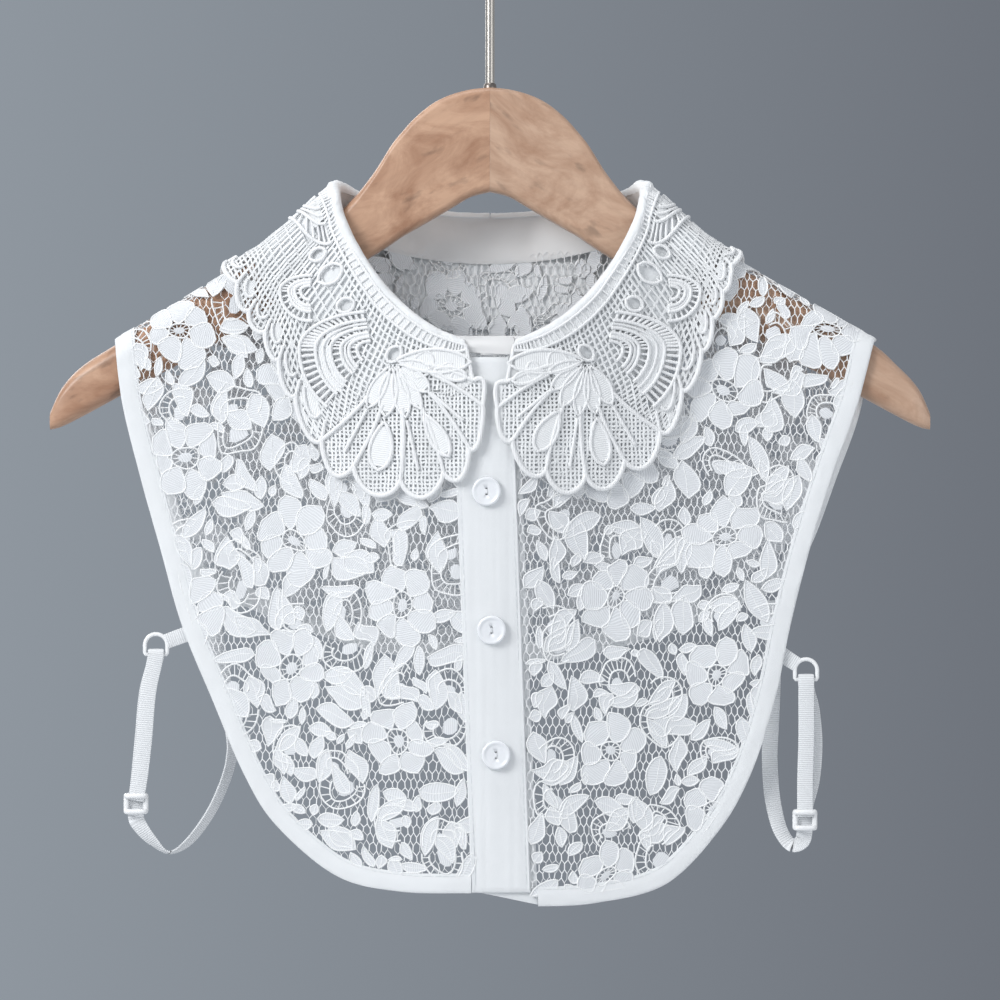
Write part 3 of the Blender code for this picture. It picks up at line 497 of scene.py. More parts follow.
def wire(tree, kind, values=(), **settings):
    """Adds a node, sets its fields, and sets or links the inputs named in values."""
    node = tree.nodes.new(kind)
    for field, value in settings.items():
        setattr(node, field, value)
    for key, value in dict(values).items():
        if isinstance(value, bpy.types.NodeSocket):
            tree.links.new(value, node.inputs[key])
        else:
            node.inputs[key].default_value = value
    return node


def group_tree(name, inputs, outputs):
    tree = bpy.data.node_groups.new(name, "ShaderNodeTree")
    for label, kind in inputs:
        tree.interface.new_socket(label, in_out="INPUT", socket_type=kind)
    for label, kind in outputs:
        tree.interface.new_socket(label, in_out="OUTPUT", socket_type=kind)
    return tree, tree.nodes.new("NodeGroupInput").outputs, tree.nodes.new("NodeGroupOutput")


def weave_group():
    """Crossing threads with a little fuzz, as a height and a shade of the cloth."""
    tree, given, result = group_tree(
        "weave",
        (("Place", "NodeSocketVector"), ("Across", "NodeSocketFloat"), ("Along", "NodeSocketFloat"),
         ("Unevenness", "NodeSocketFloat")),
        (("Height", "NodeSocketFloat"), ("Shade", "NodeSocketFloat")))
    parts = wire(tree, "ShaderNodeSeparateXYZ", {0: given["Place"]})
    waves = []
    for axis, pitch in (("X", "Across"), ("Y", "Along")):
        turns = wire(tree, "ShaderNodeMath", {0: parts.outputs[axis], 1: given[pitch]}, operation="DIVIDE")
        turned = wire(tree, "ShaderNodeMath", {0: turns.outputs[0], 1: math.tau}, operation="MULTIPLY")
        waves.append(wire(tree, "ShaderNodeMath", {0: turned.outputs[0]}, operation="SINE").outputs[0])
    crossing = wire(tree, "ShaderNodeMath", {0: waves[0], 1: waves[1]}, operation="MULTIPLY")
    fuzz = wire(tree, "ShaderNodeTexNoise", {"Vector": given["Place"], "Scale": 2600.0, "Detail": 2.0})
    height = wire(tree, "ShaderNodeMath", {0: fuzz.outputs[0], 1: 0.8, 2: crossing.outputs[0]},
                  operation="MULTIPLY_ADD")
    cloudy = wire(tree, "ShaderNodeTexNoise", {"Vector": given["Place"], "Scale": 55.0, "Detail": 3.0})
    centred = wire(tree, "ShaderNodeMath", {0: cloudy.outputs[0], 1: 0.5}, operation="SUBTRACT")
    shade = wire(tree, "ShaderNodeMath", {0: centred.outputs[0], 1: given["Unevenness"], 2: 1.0},
                 operation="MULTIPLY_ADD")
    tree.links.new(height.outputs[0], result.inputs["Height"])
    tree.links.new(shade.outputs[0], result.inputs["Shade"])
    return tree


def ribs_group():
    """Parallel ribs of thread, as a height and a painted shade that is darker in the grooves between them."""
    tree, given, result = group_tree(
        "ribs",
        (("Place", "NodeSocketVector"), ("Pitch", "NodeSocketFloat"), ("Depth", "NodeSocketFloat")),
        (("Height", "NodeSocketFloat"), ("Shade", "NodeSocketFloat")))
    wander = wire(tree, "ShaderNodeTexNoise", {"Vector": given["Place"], "Scale": 260.0, "Detail": 1.0})
    drift = wire(tree, "ShaderNodeMath", {0: wander.outputs[0], 1: 2.4}, operation="MULTIPLY")
    parts = wire(tree, "ShaderNodeSeparateXYZ", {0: given["Place"]})
    turns = wire(tree, "ShaderNodeMath", {0: parts.outputs["X"], 1: given["Pitch"]}, operation="DIVIDE")
    turned = wire(tree, "ShaderNodeMath", {0: turns.outputs[0], 1: math.tau, 2: drift.outputs[0]},
                  operation="MULTIPLY_ADD")
    wave = wire(tree, "ShaderNodeMath", {0: turned.outputs[0]}, operation="SINE")
    height = wire(tree, "ShaderNodeMath", {0: wave.outputs[0], 1: 0.5, 2: 0.5}, operation="MULTIPLY_ADD")
    # Painted shade: the colour darkens in the grooves between the ribs, by the amount given.
    low = wire(tree, "ShaderNodeMath", {0: 1.0, 1: given["Depth"]}, operation="SUBTRACT")
    shade = wire(tree, "ShaderNodeMath", {0: height.outputs[0], 1: given["Depth"], 2: low.outputs[0]},
                 operation="MULTIPLY_ADD")
    tree.links.new(height.outputs[0], result.inputs["Height"])
    tree.links.new(shade.outputs[0], result.inputs["Shade"])
    return tree


WEAVE = weave_group()
RIBS = ribs_group()


def finish(name, colour, roughness, **sockets):
    material = bpy.data.materials.new(name)
    material.use_nodes = True
    tree = material.node_tree
    shader = tree.nodes["Principled BSDF"]
    shader.inputs["Base Color"].default_value = (*colour, 1)
    shader.inputs["Roughness"].default_value = roughness
    for key, value in sockets.items():
        shader.inputs[key.replace("_", " ")].default_value = value
    return material, tree, shader


def tinted(tree, shader, colour, shade):
    """Multiplies a colour by a changing factor and sends it to the shader: random tone from the weave and the
    plastic, painted shade in the grooves from the ribs.
    """
    mix = wire(tree, "ShaderNodeMix", data_type="RGBA", blend_type="MULTIPLY")
    mix.inputs[0].default_value = 1.0
    mix.inputs[6].default_value = (*colour, 1)
    tree.links.new(shade, mix.inputs[7])
    tree.links.new(mix.outputs[2], shader.inputs["Base Color"])


def bumped(tree, shader, height, distance, strength=1.0):
    bump = wire(tree, "ShaderNodeBump", {"Height": height, "Distance": distance, "Strength": strength})
    tree.links.new(bump.outputs["Normal"], shader.inputs["Normal"])


def woven_cotton(name, colour, pitch, unevenness):
    material, tree, shader = finish(name, colour, 0.82, Sheen_Weight=0.25, Sheen_Roughness=0.5)
    place = wire(tree, "ShaderNodeTexCoord").outputs["Object"]
    flat = wire(tree, "ShaderNodeMapping", {"Vector": place, "Rotation": (math.radians(90), 0, 0)})
    weave = grouped(tree, WEAVE, Place=flat.outputs[0], Across=pitch, Along=pitch, Unevenness=unevenness)
    tinted(tree, shader, colour, weave.outputs["Shade"])
    bumped(tree, shader, weave.outputs["Height"], 0.00006)
    return material


def grouped(tree, group, **values):
    node = tree.nodes.new("ShaderNodeGroup")
    node.node_tree = group
    for key, value in values.items():
        if isinstance(value, bpy.types.NodeSocket):
            tree.links.new(value, node.inputs[key])
        else:
            node.inputs[key].default_value = value
    return node


def ribbed_thread(name, colour, roughness, pitch, depth, distance, coordinate="UV", sheen=0.2):
    material, tree, shader = finish(name, colour, roughness, Sheen_Weight=sheen, Sheen_Roughness=0.5)
    place = wire(tree, "ShaderNodeTexCoord").outputs[coordinate]
    ribs = grouped(tree, RIBS, Place=place, Pitch=pitch, Depth=depth)
    # Painted shade in the grooves between the ribs; depth sets how dark it gets, and the relief itself is only the
    # bump.
    tinted(tree, shader, colour, ribs.outputs["Shade"])
    bumped(tree, shader, ribs.outputs["Height"], distance)
    return material


def moulded_plastic(name, colour, roughness):
    material, tree, shader = finish(name, colour, roughness, Coat_Weight=0.4, Coat_Roughness=0.12)
    place = wire(tree, "ShaderNodeTexCoord").outputs["Object"]
    ripple = wire(tree, "ShaderNodeTexNoise", {"Vector": place, "Scale": 420.0, "Detail": 2.0})
    tone = wire(tree, "ShaderNodeMapRange", {"Value": ripple.outputs[0], "To Min": 0.93, "To Max": 1.03})
    tinted(tree, shader, colour, tone.outputs[0])
    bumped(tree, shader, ripple.outputs[0], 0.00004)
    return material


def hanger_wood(name, pale, dark, slope):
    """Satin beech with a mottled figure that runs along the arm."""
    material, tree, shader = finish(name, pale, 0.42, Coat_Weight=0.25, Coat_Roughness=0.3)
    place = wire(tree, "ShaderNodeTexCoord").outputs["Object"]
    turned = wire(tree, "ShaderNodeMapping", {"Vector": place, "Rotation": (0, math.radians(slope), 0)})
    along = wire(tree, "ShaderNodeMapping", {"Vector": turned.outputs[0], "Scale": (24, 70, 42)})
    figure = wire(tree, "ShaderNodeTexNoise",
                  {"Vector": along.outputs[0], "Scale": 1.0, "Detail": 6.0, "Roughness": 0.66, "Distortion": 1.5})
    fine = wire(tree, "ShaderNodeMapping", {"Vector": turned.outputs[0], "Scale": (60, 900, 700)})
    pores = wire(tree, "ShaderNodeTexNoise", {"Vector": fine.outputs[0], "Scale": 1.0, "Detail": 3.0})
    ramp = wire(tree, "ShaderNodeValToRGB", {"Fac": figure.outputs[0]})
    ramp.color_ramp.elements[0].position = 0.34
    ramp.color_ramp.elements[0].color = (*dark, 1)
    ramp.color_ramp.elements[1].position = 0.62
    ramp.color_ramp.elements[1].color = (*pale, 1)
    tone = wire(tree, "ShaderNodeMapRange", {"Value": pores.outputs[0], "To Min": 0.9, "To Max": 1.08})
    knots = wire(tree, "ShaderNodeMapping", {"Vector": turned.outputs[0], "Scale": (55, 150, 150)})
    flecks = wire(tree, "ShaderNodeTexNoise", {"Vector": knots.outputs[0], "Scale": 1.0, "Detail": 4.0})
    fleck = wire(tree, "ShaderNodeMapRange", {"Value": flecks.outputs[0], "From Min": 0.6, "From Max": 0.7,
                                              "To Min": 1.0, "To Max": 0.66})
    tone = wire(tree, "ShaderNodeMath", {0: tone.outputs[0], 1: fleck.outputs[0]}, operation="MULTIPLY")
    mix = wire(tree, "ShaderNodeMix", data_type="RGBA", blend_type="MULTIPLY")
    mix.inputs[0].default_value = 1.0
    tree.links.new(ramp.outputs["Color"], mix.inputs[6])
    tree.links.new(tone.outputs[0], mix.inputs[7])
    tree.links.new(mix.outputs[2], shader.inputs["Base Color"])
    gloss = wire(tree, "ShaderNodeMapRange", {"Value": figure.outputs[0], "To Min": 0.36, "To Max": 0.5})
    tree.links.new(gloss.outputs[0], shader.inputs["Roughness"])
    bumped(tree, shader, pores.outputs[0], 0.00005)
    return material


def polished_steel(name, colour, roughness):
    material, tree, shader = finish(name, colour, roughness, Metallic=1.0)
    place = wire(tree, "ShaderNodeTexCoord").outputs["Object"]
    drawn = wire(tree, "ShaderNodeMapping", {"Vector": place, "Scale": (2600, 2600, 60)})
    lines = wire(tree, "ShaderNodeTexNoise", {"Vector": drawn.outputs[0], "Scale": 1.0, "Detail": 2.0})
    gloss = wire(tree, "ShaderNodeMapRange",
                 {"Value": lines.outputs[0], "To Min": roughness * 0.92, "To Max": roughness * 1.08})
    tree.links.new(gloss.outputs[0], shader.inputs["Roughness"])
    return material


# The ribbed threads below all carry painted shade in the grooves between their ribs.
NET_THREAD = ribbed_thread("net_thread", (0.9, 0.91, 0.92), 0.8, 0.0006, 0.12, 0.00005)
CLOTH_STITCH = ribbed_thread("cloth_stitch", (0.8, 0.82, 0.845), 0.85, 0.0008, 0.16, 0.00010)
CORDONNET = ribbed_thread("cordonnet", (0.93, 0.94, 0.945), 0.75, 0.0008, 0.1, 0.0001, "Object")
GUIPURE = ribbed_thread("guipure", (0.88, 0.895, 0.905), 0.72, 0.0009, 0.14, 0.00012)
GUIPURE_CORD = ribbed_thread("guipure_cord", (0.9, 0.91, 0.92), 0.7, 0.0007, 0.1, 0.00012, "Object")
COTTON = woven_cotton("cotton", (0.86, 0.88, 0.895), 0.0005, 0.06)
# The stand's cotton is a darker grey copy of the cotton, as painted shade inside the neck.
SHADED_STAND_COTTON = woven_cotton("stand_cotton_painted_shade", (0.8, 0.8, 0.8), 0.0005, 0.08)
SEWING = ribbed_thread("sewing_thread", (0.84, 0.86, 0.88), 0.7, 0.0004, 0.1, 0.00005, "Object")
ELASTIC = ribbed_thread("elastic", (0.84, 0.86, 0.88), 0.6, 0.0009, 0.22, 0.00015)
BUTTON = moulded_plastic("button_plastic", (0.83, 0.85, 0.88), 0.22)
PLASTIC = moulded_plastic("ring_plastic", (0.88, 0.89, 0.9), 0.25)
WOOD = {
    LEFT: hanger_wood("hanger_wood_left", (0.55, 0.34, 0.225), (0.35, 0.185, 0.11), 30),
    RIGHT: hanger_wood("hanger_wood_right", (0.56, 0.375, 0.265), (0.38, 0.22, 0.14), -30),
}
STEEL = polished_steel("hook_steel", (0.5, 0.475, 0.44), 0.3)
FERRULE = polished_steel("ferrule_steel", (0.24, 0.21, 0.19), 0.35)


# Making pieces

def add_piece(name, bm, slot, *materials, sharp=50):
    bmesh.ops.recalc_face_normals(bm, faces=bm.faces)
    data = bpy.data.meshes.new(name)
    bm.to_mesh(data)
    bm.free()
    for material in materials:
        data.materials.append(material)
    data.shade_smooth()
    data.set_sharp_from_angle(angle=math.radians(sharp))
    obj = bpy.data.objects.new(name, data)
    bpy.context.collection.objects.link(obj)
    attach(obj, "root")
    return obj


def take_in(bm, data, index):
    """Adds a mesh to a piece in the making, with its material index."""
    before = len(bm.faces)
    bm.from_mesh(data)
    bpy.data.meshes.remove(data)
    bm.faces.ensure_lookup_table()
    for number in range(before, len(bm.faces)):
        bm.faces[number].material_index = index


def twisted_cords(bm, cords, sides, index):
    """Lays round cords with closed ends along lists of points: (points, radius, closed)."""
    data = bpy.data.curves.new("cords", "CURVE")
    data.dimensions = "3D"
    data.bevel_depth = 1.0
    data.bevel_resolution = sides
    data.use_fill_caps = True
    for laid, radius, closed in cords:
        points = [here for here, ahead in zip(laid, laid[1:]) if (ahead - here).length > 0.25 * MM]
        points.append(laid[-1])
        if len(points) < 2:
            continue
        spline = data.splines.new("POLY")
        spline.points.add(len(points) - 1)
        spline.use_cyclic_u = closed
        for item, point in zip(spline.points, points):
            item.co = (*point, 1)
            item.radius = radius
    obj = bpy.data.objects.new("cords", data)
    bpy.context.collection.objects.link(obj)
    bpy.context.view_layer.update()
    mesh = bpy.data.meshes.new_from_object(obj.evaluated_get(bpy.context.evaluated_depsgraph_get()))
    bpy.data.objects.remove(obj, do_unlink=True)
    bpy.data.curves.remove(data)
    capped = bmesh.new()
    capped.from_mesh(mesh)
    bmesh.ops.remove_doubles(capped, verts=capped.verts, dist=0.001 * MM)
    capped.to_mesh(mesh)
    capped.free()
    take_in(bm, mesh, index)


def loft(sides, stations, section):
    """Closed bar whose ring of points at each station comes from a function."""
    bm = bmesh.new()
    bmesh.ops.create_cone(bm, cap_ends=True, segments=sides, radius1=1, radius2=1, depth=1)
    upright = [edge for edge in bm.edges if abs(edge.verts[0].co.z - edge.verts[1].co.z) > 0.5]
    bmesh.ops.subdivide_edges(bm, edges=upright, cuts=stations - 1, use_grid_fill=True)
    layer = bm.loops.layers.uv.new("UVMap")
    spots = {}
    for vert in bm.verts:
        side = round(math.atan2(vert.co.y, vert.co.x) / math.tau * sides) % sides
        station = round((vert.co.z + 0.5) * stations)
        spots[vert] = (side, station)
    lengths = [0.0]
    for station in range(stations):
        lengths.append(lengths[-1] + (section(0, station + 1) - section(0, station)).length)
    for face in bm.faces:
        for loop in face.loops:
            side, station = spots[loop.vert]
            loop[layer].uv = (lengths[station], side * MM)
    for vert, (side, station) in spots.items():
        vert.co = section(side, station)
    return bm


def near_edges(index, count, margin):
    """Even shares from 0 to 1 with one more line close to each end."""
    if index == 0 or index == count:
        return index / count
    return margin + (1 - 2 * margin) * (index - 1) / (count - 2)


def cloth_piece(columns, rows, surface, thick, margins):
    """Closed cloth wall round a surface function of two shares and a lift, with soft edges."""
    bm = bmesh.new()
    bmesh.ops.create_grid(bm, x_segments=columns, y_segments=rows, size=1)
    sheet = bmesh.ops.extrude_face_region(bm, geom=bm.faces[:])
    lifted = {item for item in sheet["geom"] if isinstance(item, bmesh.types.BMVert)}
    for vert in bm.verts:
        column = round((vert.co.x + 1) / 2 * columns)
        row = round((vert.co.y + 1) / 2 * rows)
        rim = column in (0, columns) or row in (0, rows)
        level = thick / 2 * (0.35 if rim else 1.0)
        across = near_edges(column, columns, margins[0])
        down = near_edges(row, rows, margins[1])
        vert.co = surface(across, down, level if vert in lifted else -level)
    return bm


def crumple(point, size, depth):
    """Slow unevenness of soft cloth."""
    return noise.noise(Vector(point) / size) * depth


def outline_cut(outline):
    """Width, length and area of a flat outline."""
    across, along = [spot[0] for spot in outline], [spot[1] for spot in outline]
    twice = sum(a * d - c * b for (a, b), (c, d) in zip(outline, outline[1:] + outline[:1]))
    return (max(across) - min(across), max(along) - min(along)), abs(twice) / 2


def band_cut(surface, columns, rows):
    """Width, length and area of a band, measured along its surface."""
    spots = [[surface(i / columns, j / rows, 0.0) for j in range(rows + 1)] for i in range(columns + 1)]
    width = max(sum((spots[i + 1][j] - spots[i][j]).length for i in range(columns)) for j in range(rows + 1))
    length = max(sum((line[j + 1] - line[j]).length for j in range(rows)) for line in spots)
    area = 0.0
    for here, ahead in zip(spots, spots[1:]):
        for j in range(rows):
            area += (ahead[j + 1] - here[j]).cross(here[j + 1] - ahead[j]).length / 2
    return (width, length), min(area, width * length)


# Lace in the making

STRAY_SIZE = 13 * MM

def inside(outline, a, b):
    """Whether a place lies inside a closed outline."""
    found = False
    last_a, last_b = outline[-1]
    for here_a, here_b in outline:
        if (here_b > b) != (last_b > b) and a < (last_a - here_a) * (b - here_b) / (last_b - here_b) + here_a:
            found = not found
        last_a, last_b = here_a, here_b
    return found


def nearest_on(outline, a, b):
    """Place on a closed outline that is nearest to a place outside it."""
    best, found = None, (a, b)
    last_a, last_b = outline[-1]
    for here_a, here_b in outline:
        run_a, run_b = here_a - last_a, here_b - last_b
        length = run_a * run_a + run_b * run_b
        share = 0.0 if length == 0 else min(max(((a - last_a) * run_a + (b - last_b) * run_b) / length, 0), 1)
        spot_a, spot_b = last_a + run_a * share, last_b + run_b * share
        gap = (spot_a - a) ** 2 + (spot_b - b) ** 2
        if best is None or gap < best:
            best, found = gap, (spot_a, spot_b)
        last_a, last_b = here_a, here_b
    return found


class Covers:
    """Outlines on the lace that the net or the mesh leaves free, with quick rejection."""

    def __init__(self):
        self.items = []

    def add(self, outline):
        sides = [spot[0] for spot in outline], [spot[1] for spot in outline]
        self.items.append((min(sides[0]), max(sides[0]), min(sides[1]), max(sides[1]), outline))

    def hold(self, a, b):
        return any(low <= a <= high and near <= b <= far and inside(outline, a, b)
                   for low, high, near, far, outline in self.items)


class Lace:
    """One piece of lace: shapes of cloth stitch, the cords laid round them and what they cover."""

    def __init__(self, ground, border, stray=0.0, steps=8):
        self.ground, self.border, self.stray, self.steps = ground, border, stray, steps
        self.fills, self.cords = [], []
        self.covers = Covers()

    def lay(self, place, flat):
        """Places of a flat layout, pulled a little out of true as lace is."""
        spots = []
        for spot in flat:
            a, b = place(*spot)
            if self.stray:
                at = Vector((a, b, 0)) / STRAY_SIZE
                a += noise.noise(at) * self.stray
                b += noise.noise(at + Vector((7.3, 2.9, 5.1))) * self.stray
            spots.append((a, b))
        return spots

    def tuck(self, spots):
        return [(a, b) if inside(self.border, a, b) else nearest_on(self.border, a, b) for a, b in spots]

    def fill(self, place, flat, lift, thick, crown=0.0):
        """Cloth stitch inside a flat outline."""
        self.fills.append((place, flat, lift, thick, crown))
        self.covers.add(self.lay(place, flat))

    def cord(self, place, flat, lift, radius, closed=False):
        spots = self.tuck(self.lay(place, flat))
        self.cords.append(([self.ground.at(a, b, lift) for a, b in spots], radius, closed))

    def lay_fills(self):
        """Each shape is a disc with an inner ring, given its thickness and laid on the ground."""
        bm = bmesh.new()
        bm.loops.layers.uv.new("UVMap")
        for place, flat, lift, thick, crown in self.fills:
            count = len(flat)
            single = bmesh.new()
            uv = single.loops.layers.uv.new("UVMap")
            bmesh.ops.create_circle(single, cap_ends=True, segments=count, radius=1)
            bmesh.ops.inset_individual(single, faces=single.faces[:], thickness=0.45)
            sheet = bmesh.ops.extrude_face_region(single, geom=single.faces[:])
            lifted = {item for item in sheet["geom"] if isinstance(item, bmesh.types.BMVert)}
            middle_p = sum(spot[0] for spot in flat) / count
            middle_q = sum(spot[1] for spot in flat) / count
            flats = {}
            for vert in single.verts:
                number = round(math.atan2(vert.co.y, vert.co.x) / math.tau * count) % count
                share = vert.co.length
                p = middle_p + (flat[number][0] - middle_p) * share
                q = middle_q + (flat[number][1] - middle_q) * share
                a, b = self.tuck(self.lay(place, [(p, q)]))[0]
                level = lift + crown * (1 - share) + (thick / 2 if vert in lifted else -thick / 2)
                flats[vert] = (p, q)
                vert.co = self.ground.at(a, b, level)
            for face in single.faces:
                for loop in face.loops:
                    loop[uv].uv = flats[loop.vert]
            data = bpy.data.meshes.new("shape")
            single.to_mesh(data)
            single.free()
            bm.from_mesh(data)
            bpy.data.meshes.remove(data)
        data = bpy.data.meshes.new("shapes")
        bm.to_mesh(data)
        bm.free()
        return data


def petal_outline(start, length, width, blunt, steps=9, roundness=0.7):
    """Rounded petal along its own middle line."""
    side = []
    for step in range(1, steps):
        share = step / steps
        side.append((start + length * share,
                     width / 2 * math.sin(math.pi * share ** blunt) ** roundness))
    return [(start, 0)] + side + [(start + length, 0)] + [(p, -q) for p, q in reversed(side)]


def arc(radius, first, last, steps, centre=(0.0, 0.0)):
    spots = []
    for step in range(steps + 1):
        angle = math.radians(first + (last - first) * step / steps)
        spots.append((centre[0] + radius * math.cos(angle), centre[1] + radius * math.sin(angle)))
    return spots


def turned(place, degrees):
    """The same flat layout, turned round its centre."""
    cos, sin = math.cos(math.radians(degrees)), math.sin(math.radians(degrees))
    return lambda p, q: place(p * cos - q * sin, p * sin + q * cos)


def stagger(bm, columns, rows, grid):
    """Takes every other upright edge out of a grid, so that its cells lie like bricks."""
    loose = []
    for edge in bm.edges:
        (column, row), (other, other_row) = (grid[vert] for vert in edge.verts)
        if column == other and 0 < column < columns and (column + min(row, other_row)) % 2:
            loose.append(edge)
    bmesh.ops.dissolve_edges(bm, edges=loose, use_verts=False)


# Body lace: flowers, leaves and ladder scrolls on a six-sided net

NET_LIFT = 0.0
SHAPE_LIFT, SHAPE_THICK = 0.15 * MM, 0.5 * MM
CORD_LIFT, CORD_RADIUS = 0.45 * MM, 0.36 * MM
CELL_WIDTH, CELL_HEIGHT, CELL_ZIGZAG = 2.7 * MM, 3.9 * MM, 0.85 * MM
THREAD_HALF = 0.23 * MM
BODY_STRAY = 3.4 * MM
REPEAT_WIDTH, REPEAT_HEIGHT = 46 * MM, 60 * MM
REPEAT_TOP = -170 * MM
SPARE_STEP = 5.6 * MM

# Leaves of one repeat round its flower: x, z, turn, length, width in mm and degrees
REPEAT_LEAVES = (
    (15, 15, 50, 17, 8),
    (-15, 16, 125, 17, 8.5),
    (1, 19, 80, 14, 7),
    (20, -2, -75, 15, 7.5),
    (-19, -4, -110, 14, 7),
    (10, -20, -40, 16, 7.5),
    (-9, -20, -130, 15, 7.5),
    (27, 12, 95, 13, 6.5),
    (-3, 30, 20, 15, 6.5),
    (-20, 29, 160, 12, 6),
)

# Ladder scrolls of one repeat: x, z, turn, inner and outer radius
REPEAT_SCROLLS = (
    (22, 22, 200, 5.0, 9.0),
    (-24, -20, 20, 5.5, 9.5),
    (0, -34, 110, 4.5, 8.0),
)


def leaf(lace, place, length, width, lift=0.0):
    outline = petal_outline(0, length, width, 0.95, lace.steps, 0.85)
    lace.fill(place, outline, SHAPE_LIFT + lift, SHAPE_THICK, 0.2 * MM)
    lace.cord(place, outline, CORD_LIFT + lift, CORD_RADIUS, True)
    lace.cord(place, [(length * share, 0) for share in (0.1, 0.35, 0.6, 0.85)],
              CORD_LIFT + lift, CORD_RADIUS * 0.6)


def flower(lace, a, b, turn, size):
    petals = 8 if turn > 0 else 7
    eye, ring = 2.2 * MM, 4.4 * MM
    place = lace.ground.flat_round(a, b, turn, size)
    for number in range(petals):
        upright = abs(math.sin(math.tau * number / petals))
        length = (8.4 + 4.4 * upright) * MM
        outline = petal_outline(ring * 0.95, length, 77 / petals * MM, 1.35, lace.steps, 0.6)
        lean = turned(place, 360 / petals * number)
        lift = 0.12 * MM * (number % 2)
        lace.fill(lean, outline, SHAPE_LIFT + 0.1 * MM + lift, SHAPE_THICK, 0.35 * MM)
        lace.cord(lean, outline, CORD_LIFT + 0.1 * MM + lift, CORD_RADIUS, True)
    lace.cord(place, arc(ring, 0, 345, 23), CORD_LIFT + 0.2 * MM, CORD_RADIUS, True)
    lace.covers.add(lace.lay(place, arc(ring, 0, 330, 11)))
    lace.fill(place, arc(eye, 0, 330, 11), SHAPE_LIFT, SHAPE_THICK, 0.3 * MM)
    for number in range(11):
        angle = math.tau * number / 11
        ray = [(radius * math.cos(angle), radius * math.sin(angle)) for radius in (eye * 0.9, ring)]
        lace.cord(place, ray, SHAPE_LIFT, CORD_RADIUS * 0.7)


def ladder_scroll(lace, place, inner, outer):
    """Curled band of two cords with rungs between them."""
    sweep = 215
    for radius in (inner, outer):
        lace.cord(place, arc(radius, 0, sweep, 16), CORD_LIFT, CORD_RADIUS * 1.1)
    band = arc(outer, 0, sweep, 12) + arc(inner, sweep, 0, 8)
    lace.covers.add(lace.lay(place, band))
    for number in range(11):
        angle = math.radians(sweep * (number + 0.5) / 11)
        rung = [(radius * math.cos(angle), radius * math.sin(angle)) for radius in (inner, outer)]
        lace.cord(place, rung, SHAPE_LIFT, CORD_RADIUS * 0.7)
    heart = arc(inner * 0.62, 0, 330, 9, (inner * 0.2, 0))
    lace.fill(place, heart, SHAPE_LIFT, SHAPE_THICK, 0.2 * MM)


def lay_repeats(lace, face, shift):
    """Half-drop repeats over the whole panel; a shape is left out where its middle is off it."""
    for column in range(-4, 5):
        for row in range(-1, 6):
            wobble = math.sin(column * 12.7 + row * 7.3)
            x0 = column * REPEAT_WIDTH + shift[0] + 2.5 * MM * wobble
            z0 = REPEAT_TOP - (row + (0.5 if column % 2 else 0)) * REPEAT_HEIGHT + shift[1]
            z0 += 3.5 * MM * math.cos(column * 5.1 + row * 9.7)
            spot = (x0, face * drop_to(x0, z0))
            if inside(lace.border, *spot):
                flower(lace, *spot, 20 * wobble, 1 + 0.12 * wobble)
            for x, z, turn, length, width in REPEAT_LEAVES:
                leaf_x = x0 + (x + 1.2 * wobble) * MM
                leaf_z = z0 + (z - wobble) * MM
                spot = (leaf_x, face * drop_to(leaf_x, leaf_z))
                if inside(lace.border, *spot):
                    place = lace.ground.flat_round(*spot, -face * (turn + 8 * wobble))
                    scale = (1 + 0.08 * wobble) * MM
                    leaf(lace, place, length * scale, width * scale, 0.05 * MM * (x > 0))
            for x, z, turn, inner, outer in REPEAT_SCROLLS:
                spot = (x0 + x * MM, face * drop_to(x0 + x * MM, z0 + z * MM))
                if inside(lace.border, *spot):
                    place = lace.ground.flat_round(*spot, turn + 10 * wobble)
                    ladder_scroll(lace, place, inner * MM, outer * MM)


def fill_spare_ground(lace, face, x_from, x_to, z_from, z_to):
    """Small leaves in places that the repeat leaves free, set by a fixed rule."""
    columns = round((x_to - x_from) / SPARE_STEP)
    rows = round((z_to - z_from) / SPARE_STEP)
    for column in range(columns):
        for row in range(rows):
            chance = noise.cell(Vector((column * 1.7, row * 2.3, face)))
            x = x_from + (column + 0.5 + 0.3 * chance) * SPARE_STEP
            z = z_from + (row + (0.5 if column % 2 else 0)) * SPARE_STEP
            if chance > 0.8:
                continue
            turn = 90 + 55 * math.sin(column * 2.1 + row * 1.3)
            length, width = (9 + 4 * chance) * MM, (4.6 + 1.6 * chance) * MM
            cos, sin = math.cos(math.radians(turn)), math.sin(math.radians(turn))
            ends = [(x + cos * length * share, z + sin * length * share) for share in (-0.5, 0, 0.5)]
            spots = [(spot_x, face * drop_to(spot_x, spot_z)) for spot_x, spot_z in ends]
            strayed = lace.lay(lambda a, b: (a, b), spots)
            if any(not inside(lace.border, *spot) or lace.covers.hold(*spot) for spot in strayed):
                continue
            leaf(lace, lace.ground.flat_round(*spots[0], -face * turn), length, width)


